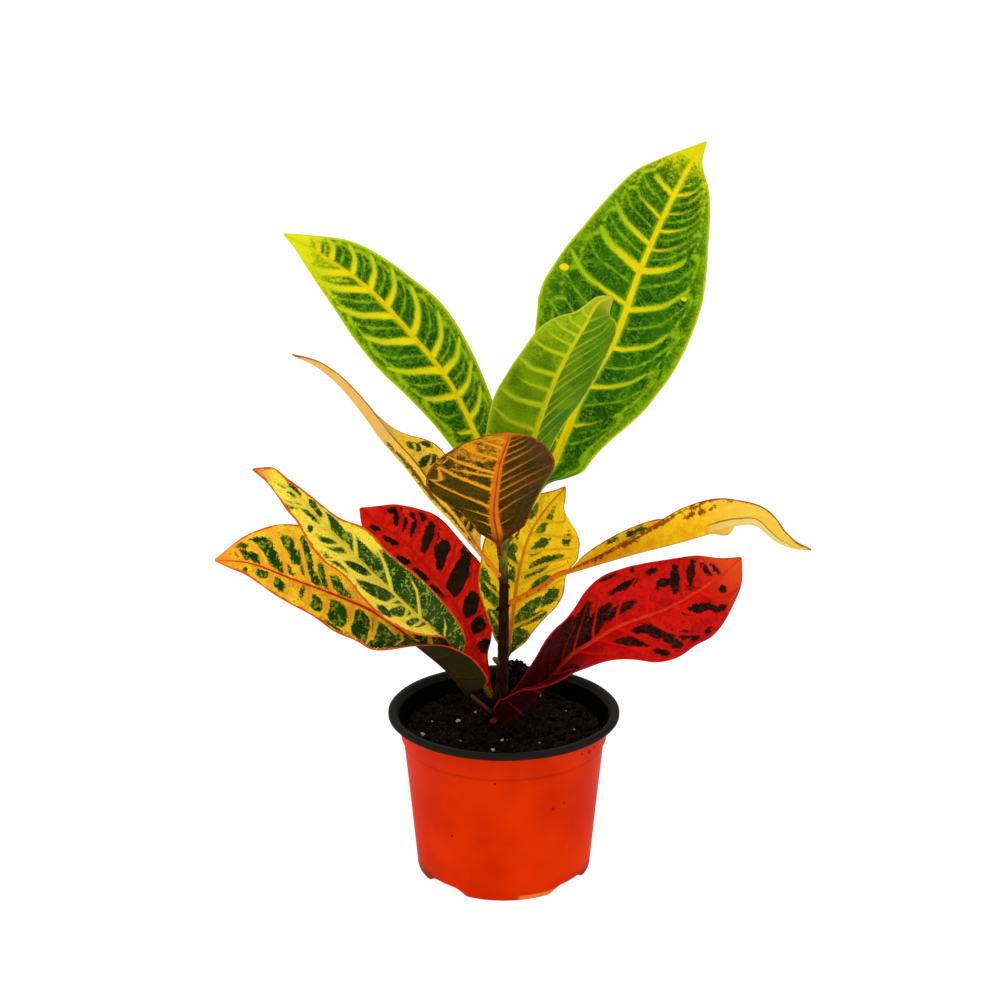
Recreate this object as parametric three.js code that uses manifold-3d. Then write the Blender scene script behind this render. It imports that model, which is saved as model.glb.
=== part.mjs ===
// Potted croton: eleven leaves on one stem, standing in soil in a 12 cm pot. Millimetres, +Z up.
// The origin is on the pot's axis at the surface it stands on, and -Y is the front.
import * as THREE from 'three'
import Module from 'manifold-3d'

const wasm = await Module()
wasm.setup()

// Pot
const POT_HEIGHT = 87
const RIM_RADIUS = 60
const RIM_DEPTH = 3
const COLLAR_RADIUS = 54.6
const COLLAR_FOOT_RADIUS = 53.4
const COLLAR_Z = 72.5
const BODY_TOP_RADIUS = 52.2
const BASE_RADIUS = 45.75
const WALL = 1.2
const FLOOR = 1.4
const CENTRE_RADIUS = 30
const CHANNEL_HEIGHT = 3.2
const FOOT_WIDTH = 4.8
const FOOT_COUNT = 4
const FOOT_TURN = 3
const FOOT_HALF_ANGLE = 28
const FOOT_SCALLOP = 10
const POT_SEGMENTS = 60

// Soil
const GAP = 0.3
const SOIL_LEVEL = 77
const SOIL_RELIEF = 0.9
const MOUND = { x: 7, y: 39, height: 20, radius: 7.5 }
const SOIL_SEGMENTS = 40
const SOIL_RINGS = [7, 14, 21, 28, 34, 40, 46]
const HOLE_DEPTH = 30

// Stem: axis points and the radius at each
const STEM = [
  [-2, 0, SOIL_LEVEL - HOLE_DEPTH + 1, 3.1],
  [-2, 0, 79, 3.4],
  [-1.2, 0, 95, 3.2],
  [-0.3, 0, 120, 2.8],
  [0, 0, 150, 2.4],
  [-0.3, 0.4, 172, 2.1],
  [0.6, 0.6, 186, 1.5],
]
const STEM_RINGS = 28
const STEM_SIDES = 12
const NODE_HEIGHT = 15
const NODE_SWELL = 0.07
const BOSS_LENGTH = 9
const BOSS_ROOT_RADIUS = 1
const BOSS_SIDES = 10
const BUD = { from: [-2, -0.5, 112], to: [-5.4, -2.2, 115], radii: [2, 0.9] }

// Leaves
const PETIOLE_RADIUS = 1.4
const BLADE_THICKNESS = 0.7
const RIB_DEPTH = 1.1
const TIP_RIB_DEPTH = 0.15
const BLADE_STATIONS = 20
const PETIOLE_STATIONS = 3
const COLUMNS = [-1, -0.72, -0.42, -0.1, 0, 0.1, 0.42, 0.72, 1]
const FRONT = [0, -0.95, 0.31]
const WAVE_FULL_WIDTH = 14

// One entry a leaf. spine: the midrib from the stem to the tip. petiole: its share of the length.
// left, right: half widths along the blade. tiltLeft, tiltRight: the angle of each half in degrees,
// 0 in the plane square to facing and 90 along facing. curl: how far each half bends across.
// wave: height, count and phase of the waves of the margins.
const LEAVES = {
  leaf_top_right: {
    spine: [
      [4, 4, 179], [12, 8, 190.5], [27, 22, 216.5], [39, 34, 243], [57, 48, 271], [71.5, 62, 307],
      [86, 72, 338], [98, 78, 359.5], [105, 78, 370],
    ],
    petiole: 0.14,
    left: [
      10, 14, 17.5, 21.5, 26, 31, 37, 42, 45.5, 46.4, 46.2, 43.9, 41, 37.4, 34.5, 31.2, 27.8, 23.6,
      15.9, 7.7, 0.5,
    ],
    right: [
      15, 17, 19, 23.1, 27.7, 30.9, 33, 34.3, 35.7, 36.6, 37, 37, 36.2, 34.2, 31.3, 27.9, 24.3,
      19.7, 13.8, 4.7, 0.5,
    ],
    tiltLeft: [20, 15, 10, 5],
    tiltRight: [20, 15, 12, 8],
    curl: -14,
    wave: [1.2, 3, 0],
    colour: 0x4f8f1f,
  },
  leaf_top_left: {
    spine: [
      [0, 4, 182], [-6, 10, 201], [-16, 20, 228], [-27.5, 30, 251], [-46, 40, 275.5],
      [-65.5, 48, 296], [-86.5, 54, 310.5], [-113, 56, 325],
    ],
    petiole: 0.14,
    left: [
      1.4, 9, 11, 13.3, 15.6, 18, 20.2, 21.9, 23.4, 24.8, 25.4, 25.5, 25.1, 24.1, 22.3, 19.7, 16.7,
      13.3, 9.1, 4.1, 0.5,
    ],
    right: [
      1.4, 12, 16, 18.4, 21, 23, 25.2, 26.6, 27.6, 28, 28, 27, 25.3, 24, 22.1, 19.9, 17.2, 13.7,
      9.6, 5.4, 0.5,
    ],
    tiltLeft: [0, 0],
    tiltRight: [40, 46, 48, 45],
    curl: -14,
    wave: [1, 3, 0.3],
    colour: 0x4f8f1f,
  },
  leaf_young: {
    spine: [
      [3, -3, 189], [8, -8, 211], [15, -14, 236], [28, -24, 273], [38, -28, 292], [45, -28, 303],
      [51, -27, 305],
    ],
    facing: [0, 0.95, -0.31],
    petiole: 0.1,
    left: [
      1.4, 11, 12, 12.4, 12.8, 13.4, 14.8, 17, 19.2, 20.4, 20.4, 20, 19.7, 19.5, 19.1, 18.4, 17.2,
      15.9, 13, 9, 0.5,
    ],
    right: [
      1.4, 12.5, 16, 18.9, 20.9, 22.9, 23.8, 24.6, 24.8, 24.2, 23.1, 22.1, 20.8, 19.7, 18.7, 16.9,
      13.4, 8.5, 4.5, 2.6, 0.5,
    ],
    tiltLeft: [50, 45, 30, 20],
    tiltRight: [0, 0],
    curl: 14,
    wave: [0.8, 3, 0],
    colour: 0x6fa02a,
  },
  leaf_front: {
    spine: [
      [-2, -4, 172], [-3, -16, 184], [-5, -32, 202], [-4, -48, 218], [-2, -64, 235], [1, -80, 248],
      [2, -96, 256],
    ],
    facing: [0, 0.7, 0.7],
    petiole: 0.08,
    left: [
      1.4, 13, 16, 17.7, 19, 20.3, 21.5, 22.7, 23.8, 24.8, 25.7, 26.5, 26.7, 25.7, 23.5, 21, 17.9,
      14, 11.3, 8, 0.5,
    ],
    right: [
      1.4, 9.5, 11.5, 12.5, 14, 17, 22, 27.5, 31.5, 32.8, 32.8, 31.8, 29.5, 26.4, 22.4, 18.8, 15.8,
      13.2, 11, 7.1, 0.5,
    ],
    tiltLeft: [25, 15, 10, 5],
    tiltRight: [20, 5, 5, 5],
    curl: 8,
    wave: [0.5, 3, 0],
    colour: 0x6b4a17,
  },
  leaf_folded_left: {
    spine: [
      [-2.5, -3.5, 160], [-8, -6, 168], [-17, -8, 180], [-25.5, -10, 191], [-36, -12, 203],
      [-47, -12, 218], [-60, -12, 234], [-69, -12, 247], [-83, -12, 263.5], [-90.5, -12, 269.5],
      [-102, -12, 275],
    ],
    petiole: 0.1,
    left: [1.4, 6, 9, 12, 14, 12.5, 9.5, 6.5, 0.5],
    right: [1.4, 11, 17, 19, 17, 13, 9.5, 6.5, 0.5],
    tiltLeft: [105, 115, 118, 114, 110, 112, 115, 115, 115],
    tiltRight: [0, 0, 0, 5, -50, -68, -72, -75, -75],
    curl: 0,
    wave: [0, 1, 0],
    colour: 0xd9b23a,
  },
  leaf_mid_left: {
    spine: [
      [-7, -3, 94], [-10, -5, 100], [-17, -8, 110], [-25, -12, 121], [-33, -18, 133],
      [-44, -26, 147], [-63, -38, 172], [-83, -46, 198], [-99, -52, 218], [-116, -58, 230],
    ],
    petiole: 0.14,
    left: [
      1.4, 3, 5, 9, 14, 18, 19.5, 19.5, 19.5, 19.1, 18.1, 15.8, 14.9, 15.8, 14.8, 12.7, 10.9, 9.8,
      6.2, 2.4, 0.5,
    ],
    right: [
      1.4, 8.3, 11.5, 13.1, 14.2, 14.9, 15.1, 15.1, 14.6, 13.9, 14, 14.6, 16.3, 15.5, 10.5, 8, 6,
      4.3, 4, 5, 0.5,
    ],
    tiltLeft: [95, 105, 68, 55, 42, 32, 10],
    tiltRight: [-10, -10, -10, 0, 18, 35, 42, 28, 0],
    curl: -8,
    wave: [0.6, 4, 0],
    colour: 0x8f9a2b,
  },
  leaf_low_left: {
    spine: [
      [-7, -1, 84.5], [-10, -3, 88], [-17, -7, 96], [-29, -12, 113], [-44, -14, 127],
      [-67, -14, 145], [-83, -15, 153], [-105, -18, 163], [-127, -22, 173], [-142, -24, 175],
    ],
    petiole: 0.1,
    left: [
      1.4, 18, 22, 22.5, 21, 20, 20.5, 23, 24, 22.8, 21.7, 20.7, 19.1, 17.2, 15.3, 13.1, 11.6, 9.7,
      6.7, 4.1, 0.5,
    ],
    right: [
      1.4, 8.5, 12.5, 14.7, 16.1, 17, 17.3, 17.6, 18.2, 19.4, 21.5, 23.6, 25.8, 27.1, 28, 27.8,
      26.2, 22.6, 15.4, 7.8, 0.5,
    ],
    tiltLeft: [120, 130, 122, 92, 54, 44, 41, 40, 38, 34, 30],
    tiltRight: [-35, -38, -32, -15, 0, 5, 5, 5, 5],
    curl: -8,
    wave: [0.7, 5, 0],
    colour: 0xd08a1e,
  },
  leaf_red_left: {
    spine: [
      [-6, 2, 92], [-9, 5, 99], [-12, 8, 109], [-16, 10, 120], [-25, 16, 136], [-39, 22, 150],
      [-54, 26, 167], [-63, 28, 175], [-75, 30, 186],
    ],
    petiole: 0.04,
    left: [
      1.4, 3.6, 5, 8.5, 14.5, 17.2, 18.8, 20.1, 20.9, 20.9, 20.1, 19.7, 19.5, 18.8, 17.9, 16.6,
      14.8, 12.1, 8.2, 5.5, 0.5,
    ],
    right: [
      1.4, 3, 3.6, 5.2, 9.2, 12.5, 15, 17.8, 21.8, 25, 25.7, 26, 26, 25.8, 25.6, 24.3, 21.1, 17.9,
      13.9, 7.1, 0.5,
    ],
    tiltLeft: [20, 20],
    tiltRight: [10, 10],
    curl: -8,
    wave: [0.6, 4, 0],
    colour: 0xa8180f,
  },
  leaf_behind_stem: {
    spine: [
      [0.8, 4.7, 107], [1.6, 8, 114.5], [4.5, 12, 134], [8, 18, 157], [14.5, 24, 176],
      [22, 28, 186.5], [32, 32, 197],
    ],
    petiole: 0.05,
    left: [
      1.4, 4.2, 8, 10.5, 13.5, 16.3, 18.7, 20.4, 21.5, 22.2, 22.6, 23.4, 23.1, 21.9, 19.1, 16.4,
      13.3, 10.2, 6.4, 3, 0.5,
    ],
    right: [
      1.4, 4.8, 9.1, 11.4, 14.1, 17.5, 21.6, 24.1, 25.1, 24.9, 24.6, 25.6, 27.3, 28, 27.5, 26.5,
      24.5, 18.6, 8.2, 4.6, 0.5,
    ],
    tiltLeft: [25, 25],
    tiltRight: [5, 5],
    curl: -8,
    wave: [0.6, 4, 0.2],
    colour: 0xd9a51c,
  },
  leaf_long_right: {
    spine: [
      [3, -2.5, 145], [11, -7, 151], [19, -9, 156], [27, -11, 163], [40, -14, 168], [66, -17, 177],
      [97, -21, 187], [112, -24, 193], [121, -25, 194], [134, -26, 185], [141, -26, 182],
      [150, -26, 181],
    ],
    facing: [0, 0, 1],
    petiole: 0.22,
    left: [1.4, 8, 12, 14, 16, 16, 11, 7, 0.5],
    right: [1.4, 4, 8, 12, 15.8, 15.3, 10, 6.5, 0.5],
    tiltLeft: [60, 60, 60, 55, 8, -28, 22, 50, 50],
    tiltRight: [70, 70, 75, 88, 92, 75, 60],
    curl: 0,
    wave: [0, 1, 0],
    colour: 0xd9951c,
  },
  leaf_red_right: {
    spine: [
      [-4.5, -4, 82], [-6, -8, 82.5], [-4, -12, 83.5], [2.5, -14.5, 86.5], [10.5, -16, 93],
      [21, -20, 107.5], [28.5, -23, 117], [34, -25, 124], [42.5, -30, 132], [59.5, -36, 145],
      [77, -40, 154], [94, -43, 166], [107, -45, 177], [113, -45, 183],
    ],
    petiole: 0.05,
    left: [
      1.4, 8, 11, 11.7, 11.8, 13.1, 14.9, 16.6, 17.9, 19.2, 22.3, 26.7, 29.1, 28.2, 27.2, 25.5,
      22.6, 18.8, 14.4, 7.1, 0.5,
    ],
    right: [
      1.4, 15, 19.5, 22, 23, 22, 19, 16, 13.5, 13.5, 15.5, 18, 20.6, 23.4, 23.8, 22, 22, 19.2,
      14.5, 9.1, 0.5,
    ],
    tiltLeft: [20, 20, 20, 20, 10, 0],
    tiltRight: [110, 128, 122, 90, 66, 54, 36, 22, 10, 5, 0],
    curl: -8,
    wave: [0.8, 4, 0],
    colour: 0xc2160c,
  },
}

const radians = THREE.MathUtils.degToRad
const clamp = THREE.MathUtils.clamp
const lerp = THREE.MathUtils.lerp

// Smooth curve through values at rising knots, with the mean slope of both sides at each knot.
function smooth(knots, values, at) {
  const last = knots.length - 1
  const x = clamp(at, knots[0], knots[last])
  let i = 0
  while (i < last - 1 && x >= knots[i + 1]) i += 1
  const slope = (k) => (values[k + 1] - values[k]) / (knots[k + 1] - knots[k])
  const tangent = (k) => {
    if (k === 0) return slope(0)
    if (k === last) return slope(last - 1)
    const before = knots[k] - knots[k - 1]
    const after = knots[k + 1] - knots[k]
    return (slope(k - 1) * after + slope(k) * before) / (before + after)
  }
  const step = knots[i + 1] - knots[i]
  const f = (x - knots[i]) / step
  return values[i] * (1 + 2 * f) * (1 - f) ** 2
    + step * tangent(i) * f * (1 - f) ** 2
    + values[i + 1] * f * f * (3 - 2 * f)
    + step * tangent(i + 1) * f * f * (f - 1)
}

// Values spread evenly from 0 to 1.
function along(values, at) {
  return smooth(values.map((_, k) => k / (values.length - 1)), values, at)
}

// Curve through points, read by the share of its length.
function curve(points) {
  const knots = [0]
  for (let k = 1; k < points.length; k += 1) {
    knots.push(knots[k - 1] + Math.hypot(...[0, 1, 2].map((c) => points[k][c] - points[k - 1][c])))
  }
  const fine = []
  const lengths = [0]
  const count = 400
  for (let k = 0; k < count; k += 1) {
    const at = (knots[knots.length - 1] * k) / (count - 1)
    fine.push(new THREE.Vector3(...[0, 1, 2].map((c) => smooth(knots, points.map((p) => p[c]), at))))
    if (k > 0) lengths.push(lengths[k - 1] + fine[k].distanceTo(fine[k - 1]))
  }
  return (share) => {
    const length = clamp(share, 0, 1) * lengths[count - 1]
    let k = 0
    while (k < count - 2 && lengths[k + 1] < length) k += 1
    return fine[k].clone().lerp(fine[k + 1], (length - lengths[k]) / (lengths[k + 1] - lengths[k]))
  }
}

function closedMesh(positions, indices) {
  const geometry = new THREE.BufferGeometry()
  geometry.setAttribute('position', new THREE.Float32BufferAttribute(positions, 3))
  geometry.setIndex(indices)
  geometry.computeVertexNormals()
  return geometry
}

// Rings of points, all of one length, joined into a closed body with a flat cap at each end.
function loft(rings) {
  const size = rings[0].length
  const indices = []
  for (let i = 0; i < rings.length - 1; i += 1) {
    for (let j = 0; j < size; j += 1) {
      const a = i * size + j
      const b = i * size + ((j + 1) % size)
      indices.push(a, b, b + size, a, b + size, a + size)
    }
  }
  for (let j = 1; j < size - 1; j += 1) {
    const end = (rings.length - 1) * size
    indices.push(0, j + 1, j, end, end + j, end + j + 1)
  }
  return closedMesh(rings.flat().flatMap((p) => p.toArray()), indices)
}

// The midrib's place and the axes across (right) and out of (up) the blade at a share of its length.
function leafFrame(leaf, place, share) {
  const step = 0.012
  const forward = place(share + step).sub(place(share - step)).normalize()
  const facing = new THREE.Vector3(...(leaf.facing ?? FRONT))
  const up = facing.addScaledVector(forward, -facing.dot(forward)).normalize()
  return { point: place(share), forward, up, right: forward.clone().cross(up) }
}

// Across and up from the midrib to the point a of the way along a half that bends by curl.
function halfPoint(width, tilt, curl, a) {
  const start = tilt - curl / 2
  if (Math.abs(curl) < 1e-3) return [width * a * Math.cos(start), width * a * Math.sin(start)]
  return [
    (width * (Math.sin(start + curl * a) - Math.sin(start))) / curl,
    (width * (Math.cos(start) - Math.cos(start + curl * a))) / curl,
  ]
}

// Middle surface of a leaf: one row of points a station, from the left margin to the right one.
function leafRow(leaf, place, share) {
  const { point, up, right } = leafFrame(leaf, place, share)
  const t = clamp((share - leaf.petiole) / (1 - leaf.petiole), 0, 1)
  const grow = clamp((share - leaf.petiole + 0.03) / 0.05, 0, 1)
  return COLUMNS.map((u) => {
    const side = u < 0 ? -1 : 1
    const a = Math.abs(u)
    const width = lerp(PETIOLE_RADIUS, along(u < 0 ? leaf.left : leaf.right, t), grow)
    const tilt = radians(along(u < 0 ? leaf.tiltLeft : leaf.tiltRight, t))
    const [across, lift] = halfPoint(width, tilt, radians(leaf.curl), a)
    const [height, count, phase] = leaf.wave
    const fade = a * a * clamp(width / WAVE_FULL_WIDTH, 0, 1) * grow
    const wave = height * Math.sin(2 * Math.PI * (count * t + phase)) * fade
    return point.clone()
      .addScaledVector(right, side * (across - wave * Math.sin(tilt)))
      .addScaledVector(up, lift + wave * Math.cos(tilt))
  })
}

// A leaf as one closed body: a round petiole that opens into a blade with a rib below its midrib.
function leafGeometry(leaf) {
  const place = curve(leaf.spine)
  const shares = []
  for (let k = 0; k < PETIOLE_STATIONS; k += 1) shares.push((leaf.petiole * k) / PETIOLE_STATIONS)
  for (let k = 0; k <= BLADE_STATIONS; k += 1) {
    shares.push(lerp(leaf.petiole, 1, k / BLADE_STATIONS))
  }
  const rows = shares.map((share) => leafRow(leaf, place, share))
  const columns = COLUMNS.length
  const top = []
  const bottom = []
  shares.forEach((share, i) => {
    const { point, up, right } = leafFrame(leaf, place, share)
    const t = clamp((share - leaf.petiole) / (1 - leaf.petiole), 0, 1)
    const open = THREE.MathUtils.smoothstep(share, leaf.petiole - 0.02, leaf.petiole + 0.06)
    const turn = radians((along(leaf.tiltLeft, t) - along(leaf.tiltRight, t)) / 2)
    const rodUp = up.clone().multiplyScalar(Math.cos(turn)).addScaledVector(right, Math.sin(turn))
    const rodRight = right.clone().multiplyScalar(Math.cos(turn)).addScaledVector(up, -Math.sin(turn))
    COLUMNS.forEach((u, j) => {
      const before = rows[Math.max(i - 1, 0)][j]
      const after = rows[Math.min(i + 1, rows.length - 1)][j]
      const leftward = rows[i][Math.max(j - 1, 0)]
      const rightward = rows[i][Math.min(j + 1, columns - 1)]
      const normal = rightward.clone().sub(leftward).cross(after.clone().sub(before)).normalize()
      const rib = u === 0 ? lerp(RIB_DEPTH, TIP_RIB_DEPTH, t) : 0
      const angle = 0.45 * Math.PI * u
      const rod = point.clone().addScaledVector(rodRight, PETIOLE_RADIUS * Math.sin(angle))
      const round = PETIOLE_RADIUS * Math.cos(angle)
      top.push(rod.clone().addScaledVector(rodUp, round)
        .lerp(rows[i][j].clone().addScaledVector(normal, BLADE_THICKNESS / 2), open))
      bottom.push(rod.clone().addScaledVector(rodUp, -round)
        .lerp(rows[i][j].clone().addScaledVector(normal, -BLADE_THICKNESS / 2 - rib), open))
    })
  })
  const under = top.length
  const indices = []
  for (let i = 0; i < rows.length - 1; i += 1) {
    for (let j = 0; j < columns - 1; j += 1) {
      const a = i * columns + j
      const b = a + 1
      const c = a + columns
      const d = c + 1
      indices.push(a, b, d, a, d, c)
      indices.push(under + a, under + d, under + b, under + a, under + c, under + d)
    }
    const left = i * columns
    const right = left + columns - 1
    indices.push(left, left + columns, under + left + columns)
    indices.push(left, under + left + columns, under + left)
    indices.push(right, under + right, under + right + columns)
    indices.push(right, under + right + columns, right + columns)
  }
  const end = (rows.length - 1) * columns
  for (let j = 0; j < columns - 1; j += 1) {
    const tip = end + j
    indices.push(j, under + j, under + j + 1, j, under + j + 1, j + 1)
    indices.push(tip, tip + 1, under + tip + 1, tip, under + tip + 1, under + tip)
  }
  return closedMesh([...top, ...bottom].flatMap((p) => p.toArray()), indices)
}

function solid(geometry) {
  const position = geometry.getAttribute('position')
  return new wasm.Manifold(new wasm.Mesh({
    numProp: 3,
    vertProperties: new Float32Array(position.array),
    triVerts: new Uint32Array(geometry.getIndex().array),
  }))
}

function geometryOf(body) {
  const mesh = body.getMesh()
  return closedMesh(Array.from(mesh.vertProperties), Array.from(mesh.triVerts))
}

// Round tapered rod between two points.
function rod(from, to, startRadius, endRadius, sides) {
  const start = new THREE.Vector3(...from)
  const end = new THREE.Vector3(...to)
  return loft([ring(start, end.clone().sub(start), startRadius, sides),
    ring(end, end.clone().sub(start), endRadius, sides)])
}

function ring(centre, direction, radius, sides) {
  const turn = new THREE.Quaternion()
    .setFromUnitVectors(new THREE.Vector3(0, 0, 1), direction.clone().normalize())
  return Array.from({ length: sides }, (_, k) => {
    const angle = (2 * Math.PI * k) / sides
    return new THREE.Vector3(radius * Math.cos(angle), radius * Math.sin(angle), 0)
      .applyQuaternion(turn).add(centre)
  })
}

// Stem with a slight swelling at each node, a short boss under each leaf and one bud.
function stemGeometry() {
  const place = curve(STEM.map((p) => p.slice(0, 3)))
  const levels = STEM.map((p) => p[2])
  const radii = STEM.map((p) => p[3])
  const rings = []
  for (let i = 0; i <= STEM_RINGS; i += 1) {
    const share = i / STEM_RINGS
    const centre = place(share)
    const direction = place(share + 0.01).sub(place(share - 0.01))
    const swell = 1 + NODE_SWELL * Math.cos((2 * Math.PI * centre.z) / NODE_HEIGHT) ** 4
    rings.push(ring(centre, direction, smooth(levels, radii, centre.z) * swell, STEM_SIDES))
  }
  let stem = solid(loft(rings))
  for (const leaf of Object.values(LEAVES)) {
    const leafPlace = curve(leaf.spine)
    const start = leafPlace(0)
    const direction = leafPlace(0.012).sub(start).normalize()
    const face = start.clone().addScaledVector(direction, -GAP)
    const root = start.clone().addScaledVector(direction, -BOSS_LENGTH)
    const boss = rod(root.toArray(), face.toArray(), BOSS_ROOT_RADIUS, PETIOLE_RADIUS, BOSS_SIDES)
    stem = stem.add(solid(boss))
  }
  return geometryOf(stem.add(solid(rod(BUD.from, BUD.to, ...BUD.radii, 8))))
}

// Pot: one wall from the centre of the underside, up the outside, over the rim and down the inside.
function potProfile(angle) {
  const pitch = 360 / FOOT_COUNT
  const turned = THREE.MathUtils.euclideanModulo(angle - FOOT_TURN + pitch / 2, pitch) - pitch / 2
  const past = clamp((Math.abs(turned) - FOOT_HALF_ANGLE) / FOOT_SCALLOP, 0, 1)
  const foot = CHANNEL_HEIGHT * Math.sin((past * Math.PI) / 2)
  const slope = (BODY_TOP_RADIUS - BASE_RADIUS) / (COLLAR_Z - 2)
  const under = POT_HEIGHT - RIM_DEPTH
  return [
    [CENTRE_RADIUS - 0.5, 0],
    [CENTRE_RADIUS + 2, CHANNEL_HEIGHT],
    [BASE_RADIUS - FOOT_WIDTH - 1, CHANNEL_HEIGHT],
    [BASE_RADIUS - FOOT_WIDTH, foot],
    [BASE_RADIUS - 1, foot],
    [BASE_RADIUS + slope * foot, foot + 1],
    [BASE_RADIUS + slope * 6, 7],
    [BASE_RADIUS + slope * 36, 38],
    [BODY_TOP_RADIUS, COLLAR_Z - 1.5],
    [COLLAR_FOOT_RADIUS, COLLAR_Z],
    [COLLAR_RADIUS, under],
    [RIM_RADIUS - 0.8, under],
    [RIM_RADIUS, under + 0.8],
    [RIM_RADIUS, POT_HEIGHT - 0.8],
    [RIM_RADIUS - 0.8, POT_HEIGHT],
    [RIM_RADIUS - 3.6, POT_HEIGHT],
    [RIM_RADIUS - 4.4, POT_HEIGHT - 0.8],
    [COLLAR_RADIUS - WALL, under - 2],
    [COLLAR_FOOT_RADIUS - WALL, COLLAR_Z + 0.6],
    [BODY_TOP_RADIUS - WALL, COLLAR_Z - 0.9],
    [BASE_RADIUS - WALL + slope * 3, CHANNEL_HEIGHT + FLOOR + 1],
    [BASE_RADIUS - WALL - 1, CHANNEL_HEIGHT + FLOOR],
    [CENTRE_RADIUS + 1.2, CHANNEL_HEIGHT + FLOOR],
    [CENTRE_RADIUS - 1.3, FLOOR],
  ]
}

// Closed body of profiles turned round the axis, from its start on the axis to its end on the axis.
function turned(profileAt, segments, startZ, endZ) {
  const positions = [0, 0, startZ, 0, 0, endZ]
  const profile = profileAt(0)
  const count = profile.length
  for (let k = 0; k < segments; k += 1) {
    const angle = (360 * k) / segments
    profileAt(angle).forEach(([radius, z]) => {
      positions.push(radius * Math.sin(radians(angle)), -radius * Math.cos(radians(angle)), z)
    })
  }
  const indices = []
  for (let k = 0; k < segments; k += 1) {
    const a = 2 + k * count
    const b = 2 + ((k + 1) % segments) * count
    indices.push(0, b, a, 1, a + count - 1, b + count - 1)
    for (let i = 0; i < count - 1; i += 1) {
      indices.push(a + i, b + i, b + i + 1, a + i, b + i + 1, a + i + 1)
    }
  }
  return closedMesh(positions, indices)
}

function soilHeight(x, y) {
  const hill = Math.exp(-((x - MOUND.x) ** 2 + (y - MOUND.y) ** 2) / (2 * MOUND.radius ** 2))
  const relief = Math.sin(0.31 * x + 1) * Math.cos(0.27 * y) + 0.6 * Math.sin(0.53 * y - 0.4 * x)
  return SOIL_LEVEL + MOUND.height * hill + SOIL_RELIEF * relief
}

// Soil: fills the pot to just off its wall, with a plain hole for the stem.
function soilGeometry() {
  const slope = (BODY_TOP_RADIUS - BASE_RADIUS) / (COLLAR_Z - 2)
  const bottom = CHANNEL_HEIGHT + FLOOR + GAP
  const profileAt = (angle) => {
    const x = Math.sin(radians(angle))
    const y = -Math.cos(radians(angle))
    const rise = (radius) => soilHeight(radius * x, radius * y)
    return [
      [CENTRE_RADIUS - 2, FLOOR + GAP],
      [CENTRE_RADIUS + 0.9, bottom],
      [BASE_RADIUS - WALL - 1.3, bottom],
      [BASE_RADIUS - WALL - GAP + slope * 3, bottom + 1],
      [BODY_TOP_RADIUS - WALL - GAP, COLLAR_Z - 1.2],
      [BODY_TOP_RADIUS - WALL - GAP, rise(BODY_TOP_RADIUS - WALL) - 1.2],
      ...[...SOIL_RINGS].reverse().map((radius) => [radius, rise(radius)]),
    ]
  }
  const body = solid(turned(profileAt, SOIL_SEGMENTS, FLOOR + GAP, soilHeight(0, 0)))
  const holeRadius = Math.max(...STEM.map((p) => p[3])) * (1 + NODE_SWELL) + GAP
  const [x, y] = STEM[0]
  const hole = rod([x, y, SOIL_LEVEL - HOLE_DEPTH], [x, y, SOIL_LEVEL + HOLE_DEPTH],
    holeRadius, holeRadius, 24)
  return geometryOf(body.subtract(solid(hole)))
}

function part(name, geometry, colour, roughness) {
  const material = new THREE.MeshStandardMaterial({ color: colour, roughness, metalness: 0 })
  const mesh = new THREE.Mesh(geometry, material)
  mesh.name = name
  return mesh
}

const croton = new THREE.Group()
croton.name = 'potted_croton'
croton.add(part('pot', turned(potProfile, POT_SEGMENTS, 0, FLOOR), 0xe0350c, 0.45))
croton.add(part('soil', soilGeometry(), 0x1c110b, 0.95))
croton.add(part('stem', stemGeometry(), 0x3a1d17, 0.6))
for (const [name, leaf] of Object.entries(LEAVES)) {
  croton.add(part(name, leafGeometry(leaf), leaf.colour, 0.4))
}

export default croton
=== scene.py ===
# Potted croton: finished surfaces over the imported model. Shapes are in millimetres until meshes are made.
import math
from functools import partialmethod

import bpy
import numpy as np
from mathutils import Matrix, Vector


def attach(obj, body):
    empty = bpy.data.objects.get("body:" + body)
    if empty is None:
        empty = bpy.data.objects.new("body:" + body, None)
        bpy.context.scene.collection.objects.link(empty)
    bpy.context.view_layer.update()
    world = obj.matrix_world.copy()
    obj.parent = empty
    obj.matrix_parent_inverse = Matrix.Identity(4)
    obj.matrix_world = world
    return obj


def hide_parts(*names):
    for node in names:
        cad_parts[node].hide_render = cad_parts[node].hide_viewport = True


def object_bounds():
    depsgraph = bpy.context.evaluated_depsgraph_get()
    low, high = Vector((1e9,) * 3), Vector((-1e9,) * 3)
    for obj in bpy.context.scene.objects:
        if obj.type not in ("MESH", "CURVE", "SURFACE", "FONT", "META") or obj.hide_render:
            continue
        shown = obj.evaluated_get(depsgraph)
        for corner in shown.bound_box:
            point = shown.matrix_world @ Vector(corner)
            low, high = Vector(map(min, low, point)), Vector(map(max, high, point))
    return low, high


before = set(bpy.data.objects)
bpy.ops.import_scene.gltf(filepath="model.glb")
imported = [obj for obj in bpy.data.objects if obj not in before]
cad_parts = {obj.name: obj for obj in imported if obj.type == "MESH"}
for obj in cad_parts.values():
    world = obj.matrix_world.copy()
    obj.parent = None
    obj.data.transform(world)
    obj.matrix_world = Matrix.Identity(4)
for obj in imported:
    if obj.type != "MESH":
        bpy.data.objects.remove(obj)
cad_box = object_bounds()
MM = 0.001
scene = bpy.context.scene

# Camera of the photograph
LENS = 58
SENSOR = 36
CAMERA_PLACE = (-0.002, -0.777, 0.418)
CAMERA_PITCH = 15.75

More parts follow.
